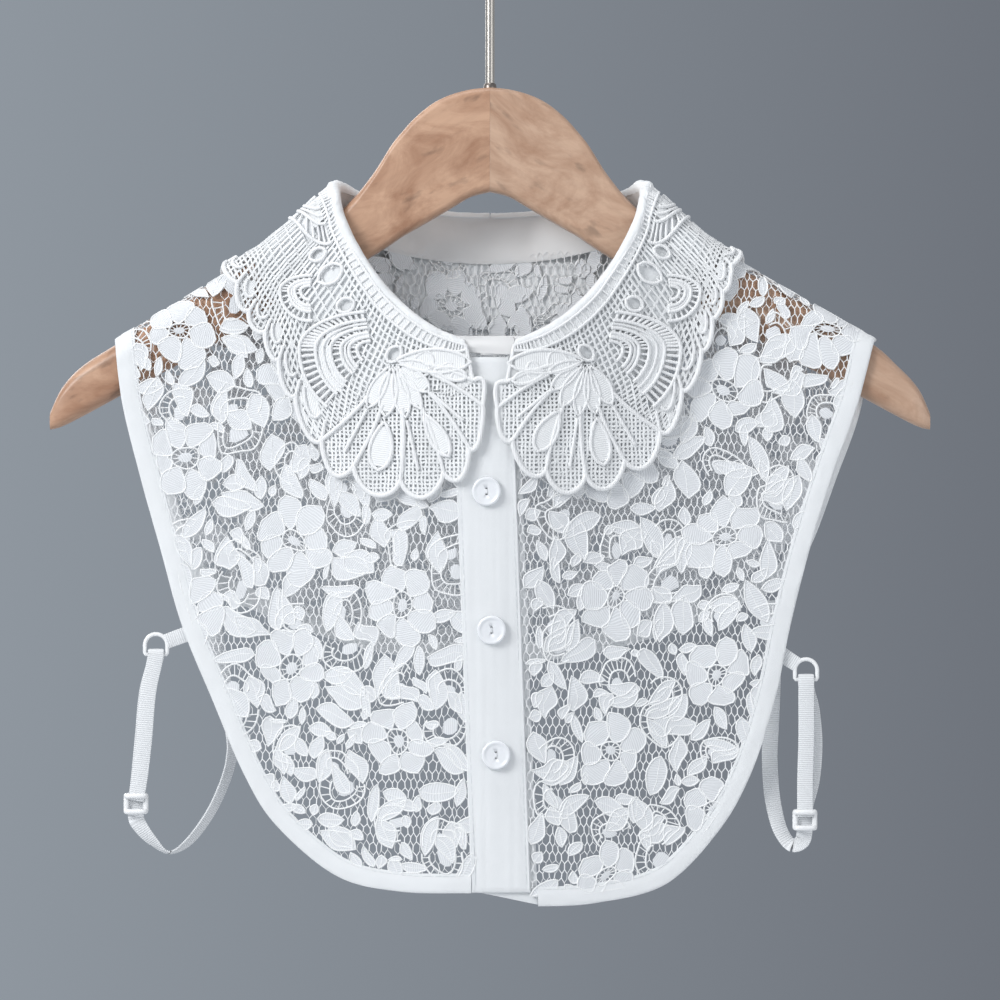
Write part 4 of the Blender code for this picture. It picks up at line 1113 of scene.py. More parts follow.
def six_sided_net(lace, face, x_from, x_to, z_from, z_to):
    """Net of six-sided cells wherever no shape covers it, a little coarser on the back."""
    size = 1.0 if face == FRONT else 1.15
    wide, high = CELL_WIDTH * size, CELL_HEIGHT * size
    columns = 2 * math.ceil((x_to - x_from) / wide)
    rows = math.ceil((z_to - z_from) / high)
    bm = bmesh.new()
    bmesh.ops.create_grid(bm, x_segments=columns, y_segments=rows, size=1)
    grid = {}
    for vert in bm.verts:
        column = round((vert.co.x + 1) / 2 * columns)
        row = round((vert.co.y + 1) / 2 * rows)
        grid[vert] = (column, row)
    for vert, (column, row) in grid.items():
        zigzag = CELL_ZIGZAG if (column + row) % 2 == 0 else -CELL_ZIGZAG
        x = x_from + column * wide / 2
        z = z_from + row * high + zigzag
        stray = Vector((column * 0.37, row * 0.41, face * 3.1))
        x += noise.noise(stray) * 0.9 * MM
        z += noise.noise(stray + Vector((9.1, 4.7, 0))) * 1.1 * MM
        vert.co = (x, 0, z)
    stagger(bm, columns, rows, grid)
    hidden = []
    for cell in bm.faces:
        middle = cell.calc_center_median()
        a, b = middle.x, face * drop_to(middle.x, middle.z)
        if not inside(lace.border, a, b) or lace.covers.hold(a, b):
            hidden.append(cell)
    bmesh.ops.delete(bm, geom=hidden, context="FACES")
    for vert in bm.verts:
        vert.co = lace.ground.at(vert.co.x, face * drop_to(vert.co.x, vert.co.z), NET_LIFT)
    cells = bm.faces[:]
    bmesh.ops.inset_individual(bm, faces=cells, thickness=THREAD_HALF)
    bmesh.ops.delete(bm, geom=cells, context="FACES")
    bmesh.ops.recalc_face_normals(bm, faces=bm.faces)
    bmesh.ops.solidify(bm, geom=bm.faces[:], thickness=NET_THICK)
    layer = bm.loops.layers.uv.new("UVMap")
    for ring in bm.faces:
        for loop in ring.loops:
            loop[layer].uv = (loop.vert.co.x, loop.vert.co.z)
    data = bpy.data.meshes.new("net")
    bm.to_mesh(data)
    bm.free()
    return data


def body_lace(name, lace, face, x_from, x_to, z_from, z_to):
    fill_spare_ground(lace, face, x_from, x_to, z_from, z_to)
    net = six_sided_net(lace, face, x_from, x_to, z_from, z_to)
    bm = bmesh.new()
    bm.loops.layers.uv.new("UVMap")
    take_in(bm, net, 0)
    take_in(bm, lace.lay_fills(), 1)
    twisted_cords(bm, lace.cords, 0, 2)
    return add_piece(name, bm, "body_lace", NET_THREAD, CLOTH_STITCH, CORDONNET, sharp=70)


HEM_TUCK = 4.6 * MM


def placket_side(hand, z):
    """Where a front runs under the button strip."""
    if hand == LEFT:
        return placket_middle(z) - PLACKET_WIDTH / 2 + 3 * MM
    return placket_middle(z) + PLACKET_WIDTH / 2 + UNDER_PLACKET_SHOWS - 3.5 * MM


def front_border(hand):
    """Outline that a front's lace fills, tucked under what is sewn round it."""
    spots = [edge_point(FRONT_EDGE, hand, share / 40, HEM_TUCK) for share in range(41)]
    foot_z = spots[-1][1]
    spots = [spot for spot in spots if hand * (spot[0] - placket_side(hand, spot[1])) > 0]
    for share in range(9):
        z = foot_z + (PLACKET_TOP_Z + 3 * MM - foot_z) * share / 8
        spots.append((placket_side(hand, z), z))
    start = math.degrees(math.asin(abs(placket_side(hand, PLACKET_TOP_Z)) / NECK_HALF))
    for share in range(1, 25):
        half_x, z = neck_turn(start + (90 - start) * share / 24, -NECK_TRIM)
        spots.append((hand * half_x, min(z, height_at(hand * half_x, -0.5 * MM) + 1 * MM)))
    top_x = spots[0][0]
    spots.append((top_x, height_at(top_x, 0)))
    return [(x, drop_to(x, z)) for x, z in spots]


def back_border():
    spots = []
    for hand in (LEFT, RIGHT):
        side = [edge_point(BACK_EDGE, hand, share / 36, HEM_TUCK) for share in range(37)]
        spots += side if hand == LEFT else side[::-1]
    for hand in (RIGHT, LEFT):
        neck = []
        for share in range(25):
            half_x, z = neck_turn(90 + 90 * share / 24, -NECK_TRIM)
            neck.append((hand * max(half_x, SEAM), min(z, height_at(half_x, 0))))
        spots += neck if hand == RIGHT else neck[::-1]
    return [(x, -drop_to(x, z)) for x, z in spots]


def dress_body():
    pieces = {}
    for hand in (LEFT, RIGHT):
        side = SIDE_NAMES[hand]
        lace = Lace(cloth, front_border(hand), BODY_STRAY)
        lay_repeats(lace, FRONT, (6 * MM, 2 * MM))
        x_range = (-165 * MM, 15 * MM) if hand == LEFT else (5 * MM, 170 * MM)
        piece = body_lace(f"lace_front_{side}", lace, FRONT, *x_range, -448 * MM, -150 * MM)
        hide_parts(f"front_{side}_panel")
        pieces[f"front_{side}"] = piece
    lace = Lace(cloth, back_border(), BODY_STRAY, steps=6)
    lay_repeats(lace, BACK, (-16 * MM, -22 * MM))
    piece = body_lace("lace_back", lace, BACK, -168 * MM, 170 * MM, -346 * MM, -150 * MM)
    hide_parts("back_panel")
    pieces["back"] = piece
    return pieces


# Guipure collar

LOBE_CORD, LOOP_CORD, ARCH_CORD, BAR_CORD = 1.12 * MM, 0.84 * MM, 0.8 * MM, 0.48 * MM
MESH_FIRST = -0.75
# Parts of the mesh: first and last station, columns for each station and rows
MESH_PARTS = ((0, 6, 6, 34), (6, 13, 5, 17), (13, SCALLOPS, 9, 30))
DRIFT_SIZE = 2.0 * MM
MESH_DRIFT = 0.65 * MM
MESH_PITCH = 1.75 * MM
MESH_STRAND = 0.43 * MM
MESH_THICK = 0.36 * MM
SMALLEST_HOLE = 0.8 * MM
NECK_SATIN = 0.1
RIM = 0.985

# Fan of petals at the front of each half: its root out from the middle and up, in mm
FAN_ROOT = (41.0, -214.0)
FAN_PETALS = 5
FAN_BOX = (-4, 78, -272, -196)
FAN_SWELL, SPOKE_BOW = 0.035, 0.055
FRONT_LOBE_FOOT, FRONT_LOBE_BULGE = 0.46, 0.62

# Arches on the front of each half: middle out and up, first and last turn, cord radii in mm
FRONT_ARCHES = (
    (50.0, -209.0, 84, -52, (6.5, 10, 13.5, 18, 24.5, 31.5)),
    (77.0, -184.0, 95, -95, (4, 6.5, 9, 13)),
)
ARCH_RISE = 0.5

# Arches behind the shoulder: station, reach, first and last turn, cord radii in mm
BACK_ARCHES = (
    (11.3, 0.12, 0, 180, (6, 9, 13)),
    (14.4, 0.14, -5, 185, (8, 12, 16.5, 22)),
    (18.4, 0.12, 10, 185, (7, 11, 15, 20)),
)


def seen_from_front(ground, hand):
    """Places on a collar half by how far out and how high they show from the front."""
    marks = []
    for column in range(-3, 40):
        for row in range(11):
            spot = ground.at(column / 4, row / 10, LACE_LIFT)
            marks.append((hand * spot.x, spot.z, column / 4, row / 10))

    def place(p, q):
        near = min(marks, key=lambda mark: (mark[0] - p) ** 2 + (mark[1] - q) ** 2)
        a, b = near[2], near[3]
        for _ in range(5):
            here = ground.at(a, b, LACE_LIFT)
            over = ground.at(a + 0.05, b, LACE_LIFT)
            below = ground.at(a, b + 0.02, LACE_LIFT)
            ax, az = hand * (over.x - here.x) / 0.05, (over.z - here.z) / 0.05
            bx, bz = hand * (below.x - here.x) / 0.02, (below.z - here.z) / 0.02
            turn = ax * bz - bx * az
            if abs(turn) < 1e-9:
                break
            off_p, off_q = p - hand * here.x, q - here.z
            a += min(max((off_p * bz - off_q * bx) / turn, -0.5), 0.5)
            b += min(max((off_q * ax - off_p * az) / turn, -0.2), 0.2)
            b = min(max(b, 0.0), 1.05)
            a = min(max(a, MESH_FIRST), 9.6)
        return a, b
    return place


def from_root(place, root, tip):
    """Flat layout along the line from a root to a tip."""
    run_p, run_q = tip[0] - root[0], tip[1] - root[1]
    length = math.hypot(run_p, run_q)
    cos, sin = run_p / length, run_q / length
    return lambda u, v: place(root[0] + u * cos - v * sin, root[1] + u * sin + v * cos), length


def barred_band(lace, place, inner, outer, radius, pitch):
    """Bars between two lines of flat points."""
    length = sum(math.dist(a, b) for a, b in zip(outer, outer[1:]))
    bars = max(round(length / pitch), 2)
    for bar in range(bars):
        share = (bar + 0.5) / bars * (len(inner) - 1)
        index = int(share)
        ends = []
        for line in (inner, outer):
            a, b = line[index], line[min(index + 1, len(line) - 1)]
            ends.append((a[0] + (b[0] - a[0]) * (share - index), a[1] + (b[1] - a[1]) * (share - index)))
        middle = ((ends[0][0] + ends[1][0]) / 2, (ends[0][1] + ends[1][1]) / 2)
        lace.cord(place, [ends[0], middle, ends[1]], LACE_LIFT, radius)


def arch(lace, satin, opens, place, lines):
    """Nested arches: satin bands between some cords and barred gaps between others."""
    for line in lines:
        lace.cord(place, line, LACE_LIFT + 0.55 * MM, ARCH_CORD)
    for number, (inner, outer) in enumerate(zip(lines, lines[1:])):
        outline = [place(*spot) for spot in outer[::2] + inner[::-2]]
        if number % 2 == len(lines) % 2:
            opens.add(outline)
            barred_band(lace, place, inner, outer, BAR_CORD * (1.5 if number > 2 else 1.1), 2.5 * MM)
        else:
            satin.add(outline)
            middle = [((a[0] + b[0]) / 2, (a[1] + b[1]) / 2) for a, b in zip(inner, outer)]
            lace.cord(place, middle, LACE_LIFT + 0.35 * MM, ARCH_CORD * 0.75)


def front_arch(middle_p, middle_q, first, last, radii):
    lines = []
    for radius in radii:
        line = []
        for spot_p, spot_q in arc(radius * MM, first, last, 30):
            line.append((middle_p * MM + spot_p, middle_q * MM + spot_q * (ARCH_RISE if spot_q > 0 else 1)))
        lines.append(line)
    return lines


def same_place(a, b):
    return a, b


def lobe_rim(number, steps=14):
    """Rounded end of a petal between two notches; the one before the first is on the front edge."""
    rim = []
    for step in range(steps + 1):
        share = step / steps
        if number < 0:
            bulge = FRONT_LOBE_BULGE * max(math.sin(math.pi * share), 0) ** 0.6
            reach = FRONT_LOBE_FOOT + (RIM - SCALLOP_DEPTH - FRONT_LOBE_FOOT) * share
            rim.append((-bulge, reach))
        else:
            station = min(number + share, SCALLOPS - 0.001)
            swell = FAN_SWELL * math.sin(math.pi * share) if number < FAN_PETALS else 0
            rim.append((station, RIM + swell - scallop(station)))
    return rim


def fan(lace, satin, petals, place, ground, hand):
    """Palmette of petals that share a root, with loops and leaves laid inside them."""
    root = (FAN_ROOT[0] * MM, FAN_ROOT[1] * MM)

    def flat(a, b):
        spot = ground.at(a, b, LACE_LIFT)
        return hand * spot.x, spot.z

    def toward_root(spot, share):
        return spot[0] + (root[0] - spot[0]) * share, spot[1] + (root[1] - spot[1]) * share

    for number in range(-1, FAN_PETALS):
        rim = lobe_rim(number)
        sides = flat(*rim[0]), flat(*rim[-1])
        tip = flat(*rim[len(rim) // 2])
        width = math.dist(*sides)
        lace.cord(same_place, rim, LACE_LIFT + 0.55 * MM, LOBE_CORD)
        petals.add([place(*root), *rim])
        for side in sides if number < 0 else sides[1:]:
            spoke = []
            for share in (0, 0.1, 0.22, 0.34, 0.46, 0.6):
                p, q = toward_root(side, share)
                bow = SPOKE_BOW * math.sin(math.pi * share)
                spoke.append((p + (side[1] - root[1]) * bow, q - (side[0] - root[0]) * bow))
            lace.cord(place, spoke, LACE_LIFT + 0.5 * MM, LOBE_CORD * 0.85)
        lay, length = from_root(place, root, tip)
        heart = petal_outline(length * 0.06, length * 0.36, width * 0.36, 1.2, steps=9)
        lace.fill(lay, heart, LACE_LIFT + 0.4 * MM, 0.7 * MM, 0.4 * MM)
        lace.cord(lay, heart, LACE_LIFT + 0.8 * MM, LOOP_CORD * 0.8, True)
        satin.add(lace.lay(lay, heart))
        loop = petal_outline(length * 0.46, length * 0.36, width * 0.46, 1.3, steps=11, roundness=0.6)
        if number % 2:
            lace.fill(lay, loop, LACE_LIFT + 0.35 * MM, 0.7 * MM, 0.35 * MM)
            lace.cord(lay, loop, LACE_LIFT + 0.75 * MM, LOOP_CORD, True)
            satin.add(lace.lay(lay, loop))
        else:
            vein = [(length * share, 0) for share in (0.44, 0.56, 0.68, 0.8)]
            lace.cord(lay, vein, LACE_LIFT + 0.7 * MM, LOOP_CORD * 0.9)
    lay, length = from_root(place, root, flat(0.0, 0.24))
    brow = petal_outline(length * 0.05, length * 0.98, 10 * MM, 1.1, steps=11, roundness=0.7)
    lace.fill(lay, brow, LACE_LIFT + 0.35 * MM, 0.7 * MM, 0.4 * MM)
    lace.cord(lay, brow, LACE_LIFT + 0.75 * MM, LOOP_CORD, True)
    satin.add(lace.lay(lay, brow))


def collar_lobe(lace, satin, number):
    """Edge petal behind the fan: its rim, a second line inside it and a rib at the notch."""
    rim = lobe_rim(number)
    lace.cord(same_place, rim, LACE_LIFT + 0.55 * MM, LOBE_CORD)
    inner = [(number + 0.5 + (a - number - 0.5) * 0.62, b - 0.13) for a, b in rim]
    lace.cord(same_place, inner, LACE_LIFT + 0.6 * MM, LOOP_CORD * 0.85)
    if number % 2:
        satin.add(inner + [(number + 0.5, 0.68)])
    rib = [(number, reach) for reach in (RIM - SCALLOP_DEPTH, 0.84, 0.77)]
    lace.cord(same_place, rib, LACE_LIFT + 0.5 * MM, LOOP_CORD)


def pierce(bm, places, cut, meshed, lace):
    """Lays a flat grid on the collar and opens a small square hole in each meshed cell."""
    flats = {vert: vert.co.copy() for vert in bm.verts}
    for vert in bm.verts:
        vert.co = lace.ground.at(*places[vert], LACE_LIFT)
    room = {vert: min(edge.calc_length() for edge in vert.link_edges) for vert in bm.verts}
    for vert in bm.verts:
        if room[vert] > SMALLEST_HOLE:
            spot = flats[vert] / DRIFT_SIZE
            drift = [noise.noise(spot + Vector((9.1 * axis, 0, 4.7))) for axis in range(3)]
            vert.co += Vector(drift) * MESH_DRIFT
    layer = bm.loops.layers.uv.new("UVMap")
    for cell in bm.faces:
        for loop in cell.loops:
            loop[layer].uv = flats[loop.vert].xy
    holes = []
    for cell in meshed:
        spots = [vert.co for vert in cell.verts]
        wide = max((a - b).length for a in spots for b in spots)
        if cell.calc_area() / wide > SMALLEST_HOLE:
            holes.append(cell)
    bmesh.ops.delete(bm, geom=cut, context="FACES")
    bmesh.ops.inset_individual(bm, faces=holes, thickness=MESH_STRAND, use_even_offset=True)
    bmesh.ops.delete(bm, geom=holes, context="FACES")
    bmesh.ops.recalc_face_normals(bm, faces=bm.faces)
    bmesh.ops.solidify(bm, geom=bm.faces[:], thickness=MESH_THICK)
    data = bpy.data.meshes.new("mesh")
    bm.to_mesh(data)
    bm.free()
    return data


def fan_mesh(lace, satin, petals, place):
    """Mesh inside the petals of the fan, square to the eye from the front."""
    left, right, low, high = (side * MM for side in FAN_BOX)
    columns, rows = round((right - left) / MESH_PITCH), round((high - low) / MESH_PITCH)
    bm = bmesh.new()
    bmesh.ops.create_grid(bm, x_segments=columns, y_segments=rows, size=1)
    places = {}
    for vert in bm.verts:
        p = left + (right - left) * (vert.co.x + 1) / 2
        q = low + (high - low) * (vert.co.y + 1) / 2
        vert.co = (p, q, 0)
        places[vert] = place(p, q)
    cut, meshed = [], []
    for cell in bm.faces:
        a = sum(places[vert][0] for vert in cell.verts) / 4
        b = sum(places[vert][1] for vert in cell.verts) / 4
        if not petals.hold(a, b):
            cut.append(cell)
        elif not satin.hold(a, b):
            meshed.append(cell)
    return pierce(bm, places, cut, meshed, lace)


def collar_mesh(lace, satin, opens, petals, part):
    """Mesh between two stations, solid where it is satin and cut away in openings."""
    first, last, columns, rows = part
    bm = bmesh.new()
    bmesh.ops.create_grid(bm, x_segments=columns * (last - first), y_segments=rows, size=1)
    places = {}
    for vert in bm.verts:
        station = first + (last - first) * (vert.co.x + 1) / 2
        reach = 0.015 + (RIM - 0.015) * (vert.co.y + 1) / 2
        places[vert] = (station, reach)
        vert.co = (station * 14 * MM, reach * 60 * MM, 0)
    cut, meshed = [], []
    for cell in bm.faces:
        a = sum(places[vert][0] for vert in cell.verts) / 4
        b = sum(places[vert][1] for vert in cell.verts) / 4
        if b > RIM - scallop(a) or petals.hold(a, b) or opens.hold(a, b):
            cut.append(cell)
        elif b > NECK_SATIN and not satin.hold(a, b):
            meshed.append(cell)
    return pierce(bm, places, cut, meshed, lace)


def dress_collar(hand):
    ground = collars[hand]
    far = RIM + FAN_SWELL + 0.01
    border = [(MESH_FIRST, 0.015), (float(SCALLOPS), 0.015), (float(SCALLOPS), far), (MESH_FIRST, far)]
    lace = Lace(ground, border)
    satin, opens, petals = Covers(), Covers(), Covers()
    front = seen_from_front(ground, hand)
    for middle_p, middle_q, first, last, radii in FRONT_ARCHES:
        arch(lace, satin, opens, front, front_arch(middle_p, middle_q, first, last, radii))
    for station, reach, first, last, radii in BACK_ARCHES:
        place = ground.flat_round(station, reach)
        arch(lace, satin, opens, place, [arc(radius * MM, first, last, 30) for radius in radii])
    for number in range(1, SCALLOPS - 1):
        wide = number in WINDOW_SCALLOPS
        place = turned(ground.flat_round(number + 0.5, 0.13 if wide else 0.17), 90 if wide else 80)
        size = 1.0 if wide else 0.7
        outline = petal_outline(0, 11.5 * size * MM, 8 * size * MM, 1.0, roundness=0.6)
        spots = lace.lay(place, outline)
        if any(satin.hold(*spot) or opens.hold(*spot) for spot in spots):
            continue
        opens.add(spots)
        lace.cord(place, outline, LACE_LIFT + 0.5 * MM, LOOP_CORD * 0.9, True)
    fan(lace, satin, petals, front, ground, hand)
    for number in range(FAN_PETALS, SCALLOPS):
        collar_lobe(lace, satin, number)
    for side in (0.02, 0.095):
        rail = [(station / 6, side) for station in range(SCALLOPS * 6 + 1)]
        lace.cord(same_place, rail, LACE_LIFT + 0.4 * MM, LOOP_CORD * 0.8)
    for number in range(1, SCALLOPS * 4):
        twist = [(number / 4 + lean, reach) for lean, reach in ((-0.1, 0.025), (0, 0.057), (0.1, 0.09))]
        lace.cord(same_place, twist, LACE_LIFT + 0.35 * MM, LOOP_CORD * 0.6)
    end = [(0.03, FRONT_LOBE_FOOT * share / 8) for share in range(9)]
    lace.cord(same_place, end, LACE_LIFT + 0.3 * MM, LOOP_CORD)
    bm = bmesh.new()
    bm.loops.layers.uv.new("UVMap")
    for part in MESH_PARTS:
        take_in(bm, collar_mesh(lace, satin, opens, petals, part), 0)
    take_in(bm, fan_mesh(lace, satin, petals, front), 0)
    take_in(bm, lace.lay_fills(), 0)
    twisted_cords(bm, lace.cords, 1, 1)
    side = SIDE_NAMES[hand]
    piece = add_piece(f"guipure_{side}", bm, "guipure", GUIPURE, GUIPURE_CORD, sharp=70)
    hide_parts(f"lace_collar_{side}")
    return piece


# Cotton parts


def under_collar(hand):
    """Cotton collar under the lace, rolled over the fold down into the stand."""
    ground = collars[hand]
    roll_share = 0.22

    def surface(across, down, level):
        station = across * SCALLOPS
        turn = collar_row(hand, station)[0]
        puff = 1.7 * MM + 1.5 * MM * smooth_step((turn - 35) / 40) * (1 - 0.5 * smooth_step((turn - 120) / 40))
        puff += crumple((station * 1.3, 2.0, hand), 1.0, 0.9 * MM)
        puff += crumple((station * 3.7, down * 9, hand), 1.0, 0.5 * MM)
        if down >= roll_share:
            reach = UNDER_REACH * (down - roll_share) / (1 - roll_share)
            ease = (1 - smooth_step(reach / 0.12)) * (2 * puff - 1.2 * MM)
            wave = crumple((station * 0.9, reach * 9, hand * 2.0), 1.0, 0.3 * MM)
            return ground.at(station, reach, UNDER_COLLAR_LIFT + max(ease, 0) * 0.5 + wave * 0.5 + level)
        edge = ground.at(station, 0.0)
        outward = (ground.at(station, 0.0, 1.0) - edge).normalized()
        upward = (edge - ground.at(station, 0.05)).normalized()
        outer = UNDER_COLLAR_LIFT + max(2 * puff - 1.2 * MM, 0) * 0.5
        radius = (outer + 0.9 * MM) / 2
        middle = edge + outward * (outer - radius)
        angle = math.pi * (1 - down / roll_share)
        reach_out = radius + level
        return middle + (outward * math.cos(angle) + upward * math.sin(angle) * 0.9) * reach_out

    side = SIDE_NAMES[hand]
    bm = cloth_piece(150, 34, surface, UNDER_COLLAR_THICK, (0.002, 0.012))
    piece = add_piece(f"cotton_collar_{side}", bm, "cotton", COTTON)
    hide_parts(f"under_collar_{side}")
    return piece


STAND_LEVEL_TURN = 13
STAND_LAP = {LEFT: 13.5 * MM, RIGHT: 4 * MM}


def collar_stand():
    def middle(share, rise):
        hand = LEFT if share < 0.5 else RIGHT
        turn = 180 - abs(share - 0.5) * 360
        foot = cloth.at(*neck_drop(hand, turn))
        top = fold_point(hand, turn)
        if turn < STAND_LEVEL_TURN:
            top.z = fold_point(hand, STAND_LEVEL_TURN).z
        spot = foot.lerp(top, rise)
        spot.x -= hand * STAND_LAP[hand] * max(0.0, 1 - turn / STAND_LEVEL_TURN)
        spot.y -= (hand == LEFT) * STAND_THICK * max(0.0, 1 - turn / STAND_LEVEL_TURN)
        return spot

    ground = Ground(middle, (0.0, 0.0), (1.0, 1.0), (180, 8), 1)

    def surface(across, down, level):
        wave = crumple((across * 40, down * 1.6, 1.0), 1.0, 1.6 * MM) * math.sin(math.pi * down)
        return ground.at(across, down, level + wave)

    bm = cloth_piece(180, 14, surface, STAND_THICK, (0.001, 0.03))
    # Darker cotton on the stand: painted shade inside the neck.
    piece = add_piece("cotton_stand", bm, "cotton", SHADED_STAND_COTTON)
    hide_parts("collar_stand")
    return piece, band_cut(surface, 120, 8)


def strip(name, node, left_of_middle, right_of_middle, hem_z, hem_rise, lift, thick, seed):
    def surface(across, down, level):
        z = PLACKET_TOP_Z + (hem_z + hem_rise * (1 - across) - PLACKET_TOP_Z) * down
        x = placket_middle(z) - left_of_middle + (left_of_middle + right_of_middle) * across
        seam = math.exp(-((min(across, 1 - across) - 0.07) / 0.02) ** 2)
        wave = crumple((x * 70, z * 24, seed), 1.0, 0.35 * MM) - 0.22 * MM * seam
        wave += crumple((x * 420, z * 11, seed), 1.0, 0.22 * MM)
        return cloth.at(x, drop_to(x, z), lift + level + wave * (1 if level > 0 else 0.3))

    bm = cloth_piece(30, 110, surface, thick, (0.02, 0.003))
    piece = add_piece(name, bm, "cotton", COTTON)
    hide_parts(node)
    return piece, band_cut(surface, 12, 60)


def binding_share(share):
    """Close stations over the ridge, even ones below it."""
    near = 0.1
    if share < near:
        return 0.06 * share / near
    return 0.06 + 0.94 * (share - near) / (1 - near)


def binding_ring(side, sides, thick):
    """Rounded section of the folded tape: how far in from the edge, and the lift."""
    angle = math.tau * side / sides
    cos, sin = math.cos(angle), math.sin(angle)
    inset = BINDING_WIDTH / 2 * (1 - math.copysign(abs(cos) ** 0.6, cos))
    lift = thick / 2 * math.copysign(abs(sin) ** 0.5, sin)
    groove = math.exp(-((inset - BINDING_WIDTH + 1.1 * MM) / (0.5 * MM)) ** 2)
    return inset, lift * (1 - 0.3 * groove)


def binding(name, node, stations, point):
    """Folded tape along an edge, a little uneven along its length."""
    sides = 20

    def section(side, station):
        inset, lift = binding_ring(side, sides, BINDING_THICK)
        share = station / stations
        pull = crumple((share * 40, inset * 300, len(name)), 1.0, 0.3 * MM)
        return point(share, inset, lift + (pull if lift > 0 else 0))

    piece = add_piece(name, loft(sides, stations, section), "cotton", COTTON)
    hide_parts(node)
    return piece


TAPE_END_REACH = 1.1 * MM


def front_binding(hand):
    def point(share, inset, lift):
        x, z = edge_point(FRONT_EDGE, hand, binding_share(share), inset)
        x -= hand * TAPE_END_REACH * smooth_step((share - 0.96) / 0.04)
        return cloth.at(x, max(drop_to(x, z), SEAM), lift)
    side = SIDE_NAMES[hand]
    return binding(f"tape_front_{side}", f"binding_front_{side}", 190, point)


def back_binding():
    def point(share, inset, lift):
        hand = LEFT if share < 0.5 else RIGHT
        along = binding_share(1 - abs(share - 0.5) * 2)
        x, z = edge_point(BACK_EDGE, hand, along, inset)
        return cloth.at(x, -max(drop_to(x, z), SEAM), lift)
    return binding("tape_back", "binding_back", 260, point)


def stitch_rows():
    """Sewing along the inner edge of each tape and both sides of the button strip."""
    length, gap, sink = 2.3 * MM, 0.8 * MM, 0.12 * MM
    rows = []
    for hand in (LEFT, RIGHT):
        inset = BINDING_WIDTH - 1.1 * MM
        for table, face in ((FRONT_EDGE, FRONT), (BACK_EDGE, BACK)):
            line = []
            for number in range(401):
                x, z = edge_point(table, hand, number / 400, inset)
                line.append(cloth.at(x, face * max(drop_to(x, z), SEAM), BINDING_THICK / 2 * 0.8))
            rows.append(line)
    for side in (-1, 1):
        line = []
        for number in range(201):
            z = PLACKET_TOP_Z + (PLACKET_HEM_Z - PLACKET_TOP_Z) * number / 200
            x = placket_middle(z) + side * (PLACKET_WIDTH / 2 - 1.8 * MM)
            line.append(cloth.at(x, drop_to(x, z), PLACKET_THICK / 2 - 0.1 * MM))
        rows.append(line)
    cords = []
    for line in rows:
        travelled, start = 0.0, None
        for here, ahead in zip(line, line[1:]):
            within = travelled % (length + gap)
            if within < length and start is None:
                start = here
            elif within >= length and start is not None:
                cords.append(([start, start.lerp(here, 0.5), here], 0.17 * MM, False))
                start = None
            travelled += (ahead - here).length
    bm = bmesh.new()
    twisted_cords(bm, cords, 0, 0)
    return add_piece("seam_stitches", bm, "cotton", SEWING)


# Buttons, straps, hanger and hook

def button(number, z):
    """Round two-hole button with a raised rim, sewn on with thread."""
    rim, dish = 1.3 * MM, 0.7 * MM
    hole, spread = 0.5 * MM, 1.1 * MM
    profile = ((0, 0), (BUTTON_RADIUS - 0.9 * MM, 0), (BUTTON_RADIUS - 0.3 * MM, 0.35 * MM),
               (BUTTON_RADIUS, 1.1 * MM), (BUTTON_RADIUS - 0.15 * MM, BUTTON_THICK - 0.6 * MM),
               (BUTTON_RADIUS - 0.5 * MM, BUTTON_THICK - 0.1 * MM), (BUTTON_RADIUS - 0.9 * MM, BUTTON_THICK),
               (BUTTON_RADIUS - rim, BUTTON_THICK - 0.1 * MM),
               (BUTTON_RADIUS - rim - 0.5 * MM, BUTTON_THICK - 0.5 * MM),
               (BUTTON_RADIUS - rim - 1.2 * MM, BUTTON_THICK - dish + 0.1 * MM), (0, BUTTON_THICK - dish))
    bm = bmesh.new()
    verts = [bm.verts.new((radius, 0, height)) for radius, height in profile]
    edges = [bm.edges.new(pair) for pair in zip(verts, verts[1:])]
    bmesh.ops.spin(bm, geom=verts + edges, axis=(0, 0, 1), cent=(0, 0, 0),
                   angle=math.tau, steps=48, use_merge=True)
    bmesh.ops.remove_doubles(bm, verts=bm.verts, dist=0.01 * MM)
    x = placket_middle(z)
    drop = drop_to(x, z)
    seat = cloth.at(x, drop, PLACKET_THICK / 2 + CLEAR)
    facing = (cloth.at(x, drop, 1.0) - cloth.at(x, drop)).normalized()
    turn = Matrix.Translation(seat) @ facing.to_track_quat("Z", "Y").to_matrix().to_4x4()
    bmesh.ops.transform(bm, matrix=turn, verts=bm.verts)
    piece = add_piece(f"sewn_button_{number}", bm, "button", BUTTON, sharp=60)
    drill = bmesh.new()
    for side in (-1, 1):
        made = bmesh.ops.create_cone(drill, cap_ends=True, segments=16, radius1=hole, radius2=hole,
                                     depth=4 * BUTTON_THICK)
        bmesh.ops.translate(drill, vec=(0, side * spread, 0), verts=made["verts"])
    bmesh.ops.transform(drill, matrix=turn, verts=drill.verts)
    data = bpy.data.meshes.new("drill")
    drill.to_mesh(data)
    drill.free()
    tool = bpy.data.objects.new("drill", data)
    bpy.context.collection.objects.link(tool)
    change = piece.modifiers.new("holes", "BOOLEAN")
    change.operation = "DIFFERENCE"
    change.object = tool
    bpy.context.view_layer.update()
    shaped = bpy.data.meshes.new_from_object(piece.evaluated_get(bpy.context.evaluated_depsgraph_get()))
    piece.modifiers.clear()
    piece.data = shaped
    bpy.data.objects.remove(tool, do_unlink=True)
    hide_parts(f"button_{number}")
    top = BUTTON_THICK - dish
    threads = []
    for shift in (-0.16 * MM, 0.16 * MM):
        bow = [(shift, -spread, 0.2 * MM), (shift, -spread * 0.8, top + 0.15 * MM), (shift, 0, top + 0.3 * MM),
               (shift, spread * 0.8, top + 0.15 * MM), (shift, spread, 0.2 * MM)]
        threads.append(([turn @ Vector(spot) for spot in bow], 0.2 * MM, False))
    bm = bmesh.new()
    twisted_cords(bm, threads, 1, 0)
    return [piece, add_piece(f"button_thread_{number}", bm, "cotton", SEWING)]


